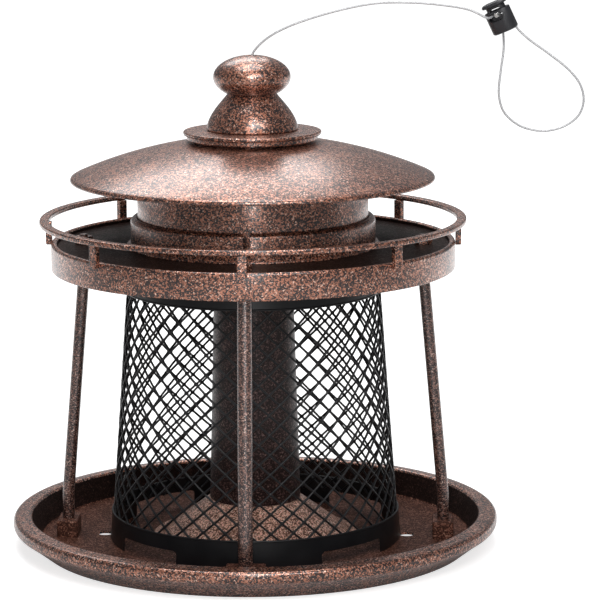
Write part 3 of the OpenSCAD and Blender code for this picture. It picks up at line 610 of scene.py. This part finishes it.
# a knuckle at each crossing, half a diamond round from those in the row below
knuckles = math(lattice, "MULTIPLY", given["Round"], math(lattice, "ADD", given["Rows"], 1.0))
row = math(lattice, "FLOOR", math(lattice, "DIVIDE", index, given["Round"]))
share = math(lattice, "DIVIDE", row, given["Rows"])
angle = math(lattice, "MULTIPLY", math(lattice, "ADD", index, math(lattice, "MULTIPLY", row, 0.5)), step)
out = math(lattice, "ADD", given["Low_Radius"], math(
    lattice, "MULTIPLY", share, math(lattice, "SUBTRACT", given["High_Radius"], given["Low_Radius"])))
crossing = add(lattice, "ShaderNodeCombineXYZ", {
    "X": math(lattice, "MULTIPLY", out, math(lattice, "COSINE", angle)),
    "Y": math(lattice, "MULTIPLY", out, math(lattice, "SINE", angle)),
    "Z": math(lattice, "MULTIPLY", share, given["Height"]),
}).outputs[0]
crossings = add(lattice, "GeometryNodeSetPosition", {
    "Geometry": add(lattice, "GeometryNodeMeshLine", {"Count": knuckles, "Offset": (0, 0, 0)}).outputs[0],
    "Position": crossing,
}).outputs[0]
lattice.links.new(add(lattice, "GeometryNodeInstanceOnPoints", {
    "Points": crossings,
    "Instance": add(lattice, "GeometryNodeMeshUVSphere", {
        "Segments": 6, "Rings": 4, "Radius": given["Strand"],
    }).outputs[0],
    "Rotation": add(lattice, "ShaderNodeCombineXYZ", {"Z": angle}).outputs[0],
    "Scale": KNUCKLE,
}).outputs[0], parts.inputs[0])
raised = add(lattice, "GeometryNodeTransform", {
    "Geometry": add(lattice, "GeometryNodeRealizeInstances", {"Geometry": parts.outputs[0]}).outputs[0],
    "Translation": lift,
}).outputs[0]
add(lattice, "NodeGroupOutput", {"Geometry": add(lattice, "GeometryNodeSetMaterial", {
    "Geometry": add(lattice, "GeometryNodeSetShadeSmooth", {"Geometry": raised}).outputs[0],
    "Material": given["Finish"],
}).outputs[0]})

black_coat = grained("black powder coat", (0.004, 0.004, 0.005), (0.009, 0.009, 0.010), 0.0007, 0.00003,
                     0.38, Specular_IOR_Level=0.35)
band_r, _, _ = reach("basket_bottom_band")
top_band_r, top_band_z, deck_under_z = reach("basket_top_band")
_, mesh_low_z, mesh_high_z = reach("mesh_basket")
basket_foot_r, basket_top_r = band_r - RING_T - FIT_GAP, top_band_r - RING_T - FIT_GAP


def taper(z):
    """The outside radius of the mesh at a height."""
    slope = (basket_foot_r - basket_top_r) / (top_band_z - floor_z)
    return basket_foot_r - slope * (z - floor_z)


basket = bpy.data.objects.new("basket_mesh", bpy.data.meshes.new("basket_mesh"))
bpy.context.scene.collection.objects.link(basket)
grown(basket, lattice, Round=DIAMONDS_ROUND, Rows=round(2 * (mesh_high_z - mesh_low_z) / DIAMOND_H),
      Low_Radius=(taper(mesh_low_z) - STRAND_R) * MM, High_Radius=(taper(mesh_high_z) - STRAND_R) * MM,
      Low=mesh_low_z * MM, Height=(mesh_high_z - mesh_low_z) * MM, Strand=STRAND_R * MM,
      Finish=black_coat)


def basket_ring(name, low, high, bead):
    """A ring of sheet round the mesh, its free edge beaded at the height given."""
    out = RING_T / 2 + FIT_GAP
    outline = sheet_outline([(taper(z) + out, z) for z in (low, (low + high) / 2, high)], RING_T)
    bead_r = taper(bead) + out
    swell = turned(name + "_bead", [
        (bead_r + BEAD_R * cos(a), bead + BEAD_R * sin(a)) for a in circle(12)
    ])
    return coat(cut(turned(name, outline), swell, how="UNION"), black_coat)


bottom_band = basket_ring("basket_bottom_ring", floor_z, band_high_z, band_high_z - 0.6)
ports = []
for k in range(4):
    outward = Matrix.Rotation(radians(45 + 90 * k), 4, "Z") @ Matrix.Rotation(pi / 2, 4, "Y")
    edge = rounded([
        (3, -PORT_W / 2), (-PORT_H, -PORT_W / 2), (-PORT_H, PORT_W / 2), (3, PORT_W / 2),
    ], [0, PORT_CORNER, PORT_CORNER, 0])
    ports.append(skin("port", [
        [Matrix.Translation((0, 0, floor_z)) @ outward @ Vector((x, y, z)) for x, y in edge]
        for z in (50, 90)
    ]))
coat(cut(bottom_band, *ports), black_coat)
top_band = basket_ring("basket_top_ring", top_band_z, deck_under_z, top_band_z + 0.6)
for piece, node in (
    (basket, "mesh_basket"), (bottom_band, "basket_bottom_band"), (top_band, "basket_top_band"),
):
    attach(piece, "feeder")
    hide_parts(node)

# ---- Posts -----------------------------------------------------------------------------------
# Four oval steel tubes, bent to lean in from the tray to the deck. Each stands in a small pressed
# cap, is screwed to the tray from below, and has a threaded stub that its nut clamps to the deck.
POST_D, POST_W = 6.0, 7.2
STUB_R, STUB_PITCH, THREAD_DEPTH = 2.5, 0.8, 0.35
FOOT_RUN, HEAD_RUN, BEND_R = 21.6, 10.6, 60
NUT_FLATS = 8
foot_low, foot_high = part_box("foot_cap_right")
cap_mid = (foot_low + foot_high) / 2 / MM
nut_r, deck_floor_z, nut_z = reach("post_nuts")
POST_TOP_IN = 4.62
post_top_r = nut_r - POST_TOP_IN
_, _, stub_z = reach("post_right")

copies = bpy.data.node_groups.new("copies round the axis", "GeometryNodeTree")
given = named_inputs(copies, [
    ("Geometry", "Geometry"), ("Copies", "Int"), ("First_Turn", "Float"), ("Finish", "Material"),
])
step = math(copies, "DIVIDE", 2 * pi, given["Copies"])
angle = math(copies, "ADD", given["First_Turn"], math(
    copies, "MULTIPLY", add(copies, "GeometryNodeInputIndex", {}).outputs[0], step))
placed = add(copies, "GeometryNodeInstanceOnPoints", {
    "Points": add(copies, "GeometryNodeMeshLine", {
        "Count": given["Copies"], "Offset": (0, 0, 0),
    }).outputs[0],
    "Instance": given["Geometry"],
    "Rotation": add(copies, "ShaderNodeCombineXYZ", {"Z": angle}).outputs[0],
}).outputs[0]
add(copies, "NodeGroupOutput", {"Geometry": add(copies, "GeometryNodeSetMaterial", {
    "Geometry": add(copies, "GeometryNodeRealizeInstances", {"Geometry": placed}).outputs[0],
    "Material": given["Finish"],
}).outputs[0]})


def copied_round(piece, count, material):
    """The piece, made to the right of the axis, copied round it from the front."""
    return grown(piece, copies, Copies=count, First_Turn=-pi / 2, Finish=material)


post_line = [(cap_mid.x, floor_z)] + rounded([
    (cap_mid.x, floor_z), (cap_mid.x, floor_z + FOOT_RUN), (post_top_r, deck_under_z - HEAD_RUN),
    (post_top_r, deck_under_z),
], [0, BEND_R, BEND_R, 0], 12)[1:]
post_line = [Vector(point) for point in post_line]
post_rings = []
for i, point in enumerate(post_line):
    along = (post_line[min(i + 1, len(post_line) - 1)] - post_line[max(i - 1, 0)]).normalized()
    ring = []
    for a in (2 * pi * (k + 0.5) / 32 for k in range(32)):
        out = point + Vector((along.y, -along.x)) * (POST_D / 2 * cos(a))
        ring.append((out.x, POST_D / 2 * sin(a) + (1 if sin(a) > 0 else -1) * (POST_W - POST_D) / 2, out.y))
    post_rings.append(ring)
posts = skin("posts", post_rings)
stub_levels = [(deck_under_z - 1, STUB_R)] + [
    (deck_under_z + 0.2 + STUB_PITCH * k / 2, STUB_R - THREAD_DEPTH * (k % 2))
    for k in range(int((stub_z - deck_under_z - 0.6) / STUB_PITCH * 2))
] + [(stub_z, STUB_R - 0.6)]
stub = skin("stub", [
    [(post_top_r + r * cos(a), r * sin(a), z) for a in circle(32)]
    for z, r in stub_levels
])
cut(posts, stub, how="UNION")
# the posts' coat has finer flakes, and its darker colours are painted shade
shaded_post_coat = flaked_coat("fine copper coat with painted shade", (0.022, 0.011, 0.010), (0.27, 0.130, 0.098),
                        (0.60, 0.42, 0.35), 0.0005, cover=0.4, metallic=0.6, gloss=1)
posts = copied_round(posts, 4, shaded_post_coat)

cap_size = (foot_high - foot_low) / MM
foot_cap = bmesh.new()
bmesh.ops.create_cube(foot_cap, size=MM, matrix=Matrix.Translation(cap_mid * MM)
                      @ Matrix.Diagonal((*cap_size, 1)))
bmesh.ops.bevel(foot_cap, geom=[
    edge for edge in foot_cap.edges if max(v.co.z for v in edge.verts) > cap_mid.z * MM
], offset=0.9 * MM, segments=4, affect="EDGES", profile=0.5)
cap_mesh = bpy.data.meshes.new("foot_caps")
foot_cap.to_mesh(cap_mesh)
foot_cap.free()
foot_caps = bpy.data.objects.new("foot_caps", cap_mesh)
bpy.context.scene.collection.objects.link(foot_caps)
post_hole = oval_stack("post_hole", POST_W + 2 * FIT_GAP, POST_D + 2 * FIT_GAP, [(-20, 0), (20, 0)],
                       Matrix.Translation(cap_mid) @ Matrix.Rotation(pi / 2, 4, "Z"))
# the foot caps take the brown painted shade of the tray's floor
foot_caps = copied_round(cut(foot_caps, post_hole), 4, painted_shade_coat)


def hexagon(name, flats, low, high, x=0.0, hole=0.0):
    """A nut: a six-sided block with its corners turned down at both ends, and a hole."""
    corner_r = flats / 2 / cos(pi / 6)
    block = skin(name, [
        [(x + corner_r * cos(a), corner_r * sin(a), z) for a in (pi / 3 * k for k in range(6))]
        for z in (low, high)
    ])
    ease = 0.13 * (high - low)
    chamfer = skin("chamfer", [
        [(x + r * cos(a), r * sin(a), z) for a in circle(48)]
        for z, r in (
            (low, flats / 2), (low + ease, corner_r), (high - ease, corner_r), (high, flats / 2),
        )
    ])
    cut(block, chamfer, how="INTERSECT", sharp=20)
    return cut(block, rod(x, 0, hole, low - 1, high + 1), sharp=20)


nuts = copied_round(hexagon(
    "deck_nuts", NUT_FLATS, deck_floor_z, nut_z, post_top_r, STUB_R + FIT_GAP,
), 4, copper_coat)

_, screw_low, screw_high = reach("foot_screws")
head = skin("tray_screws", [
    [(cap_mid.x + r * cos(a), r * sin(a), z) for a in circle(40)]
    for z, r in (
        (screw_low, 1.2), (screw_low + 0.12, 2.3), (screw_low + 0.5, 3.2), (screw_low + 1, 3.55),
        (screw_low + 1.6, 3.6), (screw_low + 1.6, 2.0), (screw_high, 2.0),
    )
])
for w, d in ((0.7, 3.4), (3.4, 0.7)):
    cut(head, skin("cross", [[
        (cap_mid.x + x * w / 2, y * d / 2, z) for x, y in ((1, 1), (-1, 1), (-1, -1), (1, -1))
    ] for z in (screw_low - 1, screw_low + 1)]))
screws = copied_round(head, 4, plated)

sides = ("front", "right", "back", "left")
for piece, nodes, slot in (
    (posts, ["post_" + side for side in sides], "copper_coat"),
    (foot_caps, ["foot_cap_" + side for side in sides], "copper_coat"),
    (nuts, ["post_nuts"], "copper_coat"), (screws, ["foot_screws"], "plated_steel"),
):
    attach(piece, "feeder")
    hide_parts(*nodes)

# ---- Deck and neck ring ----------------------------------------------------------------------
# The deck is a shallow pan with a deep outer band, spun from sheet. The neck ring stands through
# it, welded by a small flange, and a slot in its front lets the roof's peg drop in.
deck_r, deck_low_z, deck_z = reach("deck_pan")
neck_flange_r, neck_low_z, neck_z = reach("neck_ring")
LIP_W, LEDGE_W, MOUTH_W, NECK_SHOULDER = 3.2, 7.0, 3.3, 2.0
FLANGE_W, FLANGE_T = 2, 0.9
SLOT_W, SLOT_FLOOR = 3.6, 3
neck_r = neck_flange_r - FLANGE_W
lip_mid_r, band_mid_r = deck_r - LIP_W + sheet_mid, deck_r - sheet_mid
deck = coat(turned("deck_pan_sheet", sheet_outline(rounded([
    (neck_r + FIT_GAP, deck_floor_z - sheet_mid), (lip_mid_r, deck_floor_z - sheet_mid),
    (lip_mid_r, deck_z - sheet_mid), (band_mid_r, deck_z - sheet_mid), (band_mid_r, deck_low_z),
], [0, 1, 0.9, 0.9, 0]), SHEET_T)), copper_coat)
# the deck's inside takes the black painted shade of the coat
deck.data.materials.append(painted_deep_shade_coat)
for face in deck.data.polygons:
    out = sqrt(face.center.x ** 2 + face.center.y ** 2) / MM
    face.material_index = int(out < deck_r - LIP_W + 0.2)
neck_mid_r = neck_r - sheet_mid
neck = turned("neck_ring_sheet", sheet_outline(rounded([
    (neck_r - SHEET_T - LEDGE_W, neck_low_z + sheet_mid), (neck_mid_r, neck_low_z + sheet_mid),
    (neck_mid_r, neck_z - sheet_mid), (neck_r - MOUTH_W, neck_z - sheet_mid),
], [0, 1, NECK_SHOULDER, 0]), SHEET_T))
flange = turned("neck_flange", rounded([
    (neck_mid_r, deck_floor_z), (neck_flange_r, deck_floor_z),
    (neck_flange_r, deck_floor_z + FLANGE_T), (neck_mid_r, deck_floor_z + FLANGE_T),
], [0, 0.1, 0.5, 0]))
cut(neck, flange, how="UNION")
coat(cut(neck, skin("slot", [[
    (x * SLOT_W / 2, -neck_r + 10 * y, z) for x, y in ((1, 1), (-1, 1), (-1, -1), (1, -1))
] for z in (deck_floor_z + SLOT_FLOOR, neck_z + 5)])), copper_coat)

# ---- Rail ------------------------------------------------------------------------------------
# A flat steel ring for birds to perch on, held out from the deck by eight short uprights that are
# welded under it and outside the deck band.
rail_r, rail_low_z, rail_z = reach("rail")
upright_low, upright_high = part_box("baluster_3")
RAIL_W, RAIL_EDGE_R, UPRIGHT_EDGE_R = 4.9, 0.9, 0.45
rail = coat(turned("perch_rail", rounded([
    (rail_r - RAIL_W / 2, rail_low_z), (rail_r, rail_low_z), (rail_r, rail_z), (rail_r - RAIL_W, rail_z),
    (rail_r - RAIL_W, rail_low_z), (rail_r - RAIL_W / 2, rail_low_z),
], [0] + 4 * [RAIL_EDGE_R] + [0], 6)), copper_coat)
upright_w = (upright_high.y - upright_low.y) / MM
tab = [(upright_w / 2, upright_high.z / MM), (-upright_w / 2, upright_high.z / MM)] + [
    (upright_w / 2 * cos(a), upright_low.z / MM + upright_w / 2 + upright_w / 2 * sin(a))
    for a in (pi + pi * k / 12 for k in range(13))
]
uprights = skin("rail_uprights", [[(x, y, z) for y, z in tab] for x in (
    deck_r + FIT_GAP, upright_high.x / MM)], sharp=30)
worked(uprights, [("BEVEL", {"width": UPRIGHT_EDGE_R * MM, "segments": 3, "limit_method": "ANGLE"})])
uprights = copied_round(uprights, 8, copper_coat)
for piece, nodes in (
    (deck, ["deck_pan"]), (neck, ["neck_ring"]), (rail, ["rail"]),
    (uprights, ["baluster_%d" % k for k in range(1, 9)]),
):
    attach(piece, "feeder")
    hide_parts(*nodes)

# ---- Cable anchor ----------------------------------------------------------------------------
# Under the dimple of the tray the cable ends in a crimped ferrule, which bears on a steel washer
# and carries the whole feeder.


def plain_ring(name, out_r, hole_r, low, high, ease, sides=64):
    """A turned steel ring with its edges eased."""
    return turned(name, rounded([
        (hole_r, (low + high) / 2), (hole_r, low), (out_r, low), (out_r, high), (hole_r, high),
        (hole_r, (low + high) / 2),
    ], [0, ease, ease, ease, ease, 0], 4), sides)


washer_r, washer_low, washer_high = reach("cable_washer")
ferrule_r, ferrule_low, ferrule_high = reach("cable_ferrule")
washer = coat(plain_ring("anchor_washer", washer_r, 0.9, washer_low, washer_high, 0.25), plated)
third = (ferrule_high - ferrule_low) / 3
ferrule = coat(turned("anchor_ferrule", rounded([
    (CABLE_D / 2, ferrule_low), (ferrule_r, ferrule_low), (ferrule_r, ferrule_low + third * 0.8),
    (ferrule_r - 0.35, ferrule_low + third), (ferrule_r - 0.35, ferrule_high - third),
    (ferrule_r, ferrule_high - third * 0.8), (ferrule_r, ferrule_high), (CABLE_D / 2, ferrule_high),
], [0, 0.4, 0.2, 0.2, 0.2, 0.2, 0.4, 0], 4), 48), plated)
for piece, node in ((washer, "cable_washer"), (ferrule, "cable_ferrule")):
    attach(piece, "feeder")
    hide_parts(node)

# ---- Roof ------------------------------------------------------------------------------------
# A shallow spun dome with a turned edge and a skirt welded under it that fits in the neck ring.
# A steel tube, washer and nut hold it to the finial, and a peg in the skirt stops it turning.
DOME_R, TUBE_R, BORE_R, TUBE_GAP = 228.0, 3.5, 1.6, 0.2
TUBE_PITCH, TUBE_THREAD, TUBE_NUT_FLATS = 0.8, 0.3, 11
roof_r, roof_low_z, crown_z = reach("roof_dome")
dome_z = crown_z - DOME_R
dome_mid_r = DOME_R - sheet_mid


def dome_at(r, sphere_r=DOME_R):
    """The height of the dome's sphere at a distance from the axis."""
    return dome_z + sqrt(sphere_r ** 2 - r ** 2)


roof_edge = roof_r - sheet_mid
dome = coat(turned("roof_dome_sheet", sheet_outline([
    (r, dome_at(r, dome_mid_r)) for r in (TUBE_R + TUBE_GAP + (roof_edge - 5) * k / 40 for k in range(41))
] + [
    (roof_edge - 0.25, dome_at(roof_edge, dome_mid_r) - 0.05),
    (roof_edge, dome_at(roof_edge, dome_mid_r) - 0.6), (roof_edge, roof_low_z),
], SHEET_T)), copper_coat)
skirt_r, skirt_low_z, skirt_high_z = reach("roof_skirt")
skirt = coat(turned("roof_skirt_ring", sheet_outline([
    (skirt_r - thin_mid, z) for z in (skirt_low_z, (skirt_low_z + skirt_high_z) / 2, skirt_high_z)
], THIN_T)), copper_coat)
peg_low, peg_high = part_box("roof_peg")
peg_mid = (peg_low + peg_high) / 2 / MM
peg_r = (peg_high.x - peg_low.x) / 2 / MM
peg = coat(skin("skirt_peg", [
    [(r * cos(a), y, peg_mid.z + r * sin(a)) for a in circle(24)]
    for y, r in (
        (peg_low.y / MM, peg_r - 0.5), (peg_low.y / MM + 0.12, peg_r - 0.15),
        (peg_low.y / MM + 0.5, peg_r), (peg_high.y / MM, peg_r),
    )
]), plated)
ring_r, ring_low, ring_high = reach("roof_washer")
roof_washer = coat(plain_ring(
    "roof_washer_ring", ring_r, TUBE_R + TUBE_GAP, ring_low, ring_high, 0.25,
), plated)
_, lock_nut_low, lock_nut_high = reach("roof_nut")
roof_nut = coat(hexagon(
    "roof_nut_block", TUBE_NUT_FLATS, lock_nut_low, lock_nut_high, 0, TUBE_R + FIT_GAP,
), plated)
_, tube_low, tube_high = reach("roof_tube")
thread = [
    (TUBE_R - TUBE_THREAD * (k % 2), tube_low + 0.2 + TUBE_PITCH * k / 2)
    for k in range(int((lock_nut_high - tube_low + 3) / TUBE_PITCH * 2) // 2 * 2 + 1)
]
tube = coat(turned("roof_tube_rod", [(BORE_R, tube_low), (TUBE_R - 0.4, tube_low)] + thread
                   + [(TUBE_R, tube_high), (BORE_R, tube_high)], 48), plated)

# ---- Finial ----------------------------------------------------------------------------------
# A turned knob in three pieces on the tube: a flange of two plates on a collar over the dome, a
# bell with a hollow curve, and a flattened ball with the hole the cable leaves by.
flange_r, _, bell_z = reach("finial_flange")
bell_r, _, ball_seat_z = reach("finial_bell")
ball_r, _, ball_z = reach("finial_ball")
PLATE_H, STEP_H, STEP_IN, FOOT_IN, COLLAR_W = 2.4, 2.6, 1.8, 6.4, 6
NECK_R, BALL_HALF, BALL_SEAT, CABLE_HOLE_R = 12.6, 11.1, 8.2, 2.0
foot_r, step_r = flange_r - FOOT_IN, flange_r - STEP_IN
plate_z = bell_z - PLATE_H
tube_hole_r = TUBE_R + TUBE_GAP
plate = coat(turned("finial_flange_plate", [
    (r, dome_at(r) + FIT_GAP) for r in (foot_r - COLLAR_W + k for k in range(COLLAR_W + 1))
] + rounded([
    (foot_r, plate_z - STEP_H), (step_r, plate_z - STEP_H), (step_r, plate_z), (flange_r, plate_z),
    (flange_r, bell_z - 0.4), (bell_r, bell_z), (tube_hole_r, bell_z), (tube_hole_r, bell_z - SHEET_T),
    (foot_r - COLLAR_W, bell_z - SHEET_T),
], [0, 0.7, 0.3, 0.8, 0.8, 0, 0, 0, 0]), 128), copper_coat)


def bezier(a, b, c, d, steps):
    """Points along the curve from a to d that b and c draw out."""
    return [
        tuple(p * s ** 3 + q * 3 * s * s * t + u * 3 * s * t * t + v * t ** 3
              for p, q, u, v in zip(a, b, c, d))
        for t, s in ((k / steps, 1 - k / steps) for k in range(steps + 1))
    ]


bell_h = ball_seat_z - bell_z
bell = coat(turned("finial_bell_turning", sheet_outline(bezier(
    (bell_r - sheet_mid, bell_z + 0.1), (bell_r - SHEET_T, bell_z + 0.41 * bell_h),
    (NECK_R + 0.2 * (bell_r - NECK_R), bell_z + 0.76 * bell_h),
    (NECK_R - sheet_mid, ball_seat_z - sheet_mid), 28,
) + [(tube_hole_r, ball_seat_z - sheet_mid)], SHEET_T), 128), copper_coat)
ball_mid = ball_z - BALL_HALF
seat = asin(BALL_SEAT / BALL_HALF)
hole = acos(CABLE_HOLE_R / ball_r)
ball = coat(turned("finial_ball_turning", [(BORE_R, ball_mid - BALL_SEAT)] + [
    (ball_r * cos(a), ball_mid + BALL_HALF * sin(a))
    for a in (-seat + (hole + seat) * k / 48 for k in range(49))
] + [(BORE_R + 0.1, ball_z - 0.25), (BORE_R, ball_z - 0.8)], 128), copper_coat)
for piece, node, slot in (
    (dome, "roof_dome", "copper_coat"), (skirt, "roof_skirt", "copper_coat"),
    (peg, "roof_peg", "plated_steel"), (roof_washer, "roof_washer", "plated_steel"),
    (roof_nut, "roof_nut", "plated_steel"), (tube, "roof_tube", "plated_steel"),
    (plate, "finial_flange", "copper_coat"), (bell, "finial_bell", "copper_coat"),
    (ball, "finial_ball", "copper_coat"),
):
    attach(piece, "roof")
    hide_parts(node)

# ---- Studio ----------------------------------------------------------------------------------
# A pale floor runs out of the frame. A broad soft lamp hangs overhead, a second stands high behind
# the feeder and to its left, a third lights it from the front, and a narrow strip beside the
# camera draws the light line down the middle.
floor_mesh = bpy.data.meshes.new("floor")
floor_mesh.from_pydata([(x, y, 0) for x, y in ((-8, -6), (8, -6), (8, 9), (-8, 9))], [], [(0, 1, 2, 3)])
floor = bpy.data.objects.new("floor", floor_mesh)
bpy.context.scene.collection.objects.link(floor)
pale, tree, surface = finish_of("pale floor", Roughness=0.9)
worn = add(tree, "ShaderNodeTexNoise", {"Vector": object_place(tree), "Scale": 3}).outputs["Fac"]
tree.links.new(blend(tree, worn, (0.56, 0.56, 0.56, 1), (0.60, 0.60, 0.60, 1)), surface["Base Color"])
# the floor looks white from far off and in gloss that faces the back, and keeps the feeder's shadow
rays = add(tree, "ShaderNodeLightPath", {}).outputs
mirrored = math(tree, "MAXIMUM", rays["Is Glossy Ray"], rays["Is Transmission Ray"])
depth = add(tree, "ShaderNodeSeparateXYZ", {"Vector": object_place(tree)}).outputs["Y"]
mirror_share = ranged(tree, depth, -0.05, 0.35, 0.05, 0.85)
away = add(tree, "ShaderNodeVectorMath", {0: object_place(tree)}, operation="LENGTH").outputs["Value"]
seen = ranged(tree, away, 0.1, 0.9, 0.72, 0.98)
shown = math(tree, "MAXIMUM", math(tree, "MULTIPLY", rays["Is Camera Ray"], seen),
             math(tree, "MULTIPLY", mirrored, mirror_share))
glow = add(tree, "ShaderNodeEmission", {"Strength": shown})
both = add(tree, "ShaderNodeAddShader", {0: tree.nodes["Principled BSDF"].outputs[0], 1: glow.outputs[0]})
tree.links.new(both.outputs[0], tree.nodes["Material Output"].inputs["Surface"])
coat(floor, pale)


def soft_lamp(name, place, size, power):
    """A flat lamp aimed at the middle of the feeder that no camera sees."""
    lamp = bpy.data.objects.new(name, bpy.data.lights.new(name, "AREA"))
    lamp.data.shape = "RECTANGLE"
    lamp.data.size, lamp.data.size_y = size
    lamp.data.energy = power
    lamp.visible_camera = False
    aim = Vector((0, 0, 0.13)) - Vector(place)
    lamp.matrix_world = Matrix.Translation(place) @ aim.to_track_quat("-Z", "Y").to_matrix().to_4x4()
    bpy.context.scene.collection.objects.link(lamp)


soft_lamp("lamp overhead", (-0.1, 0.1, 1.65), (1.0, 0.8), 14)
soft_lamp("lamp behind", (-0.24, 1.15, 1.3), (1.0, 0.6), 7)
soft_lamp("lamp in front", (0.3, -1.05, 1.0), (0.8, 0.4), 7.5)
soft_lamp("strip lamp", (0.0367, -0.7, 0.45), (0.035, 0.9), 2.1)
WORLD_LEVEL = 0.25
world = bpy.data.worlds.new("studio")
world.use_nodes = True
sky = world.node_tree
sky.nodes["Background"].inputs["Color"].default_value = (0.97, 0.98, 1.0, 1)
seen_sky = add(sky, "ShaderNodeLightPath", {}).outputs["Is Camera Ray"]
sky.links.new(math(sky, "MAXIMUM", seen_sky, WORLD_LEVEL), sky.nodes["Background"].inputs["Strength"])
bpy.context.scene.world = world
bpy.context.scene.view_settings.view_transform = "Standard"
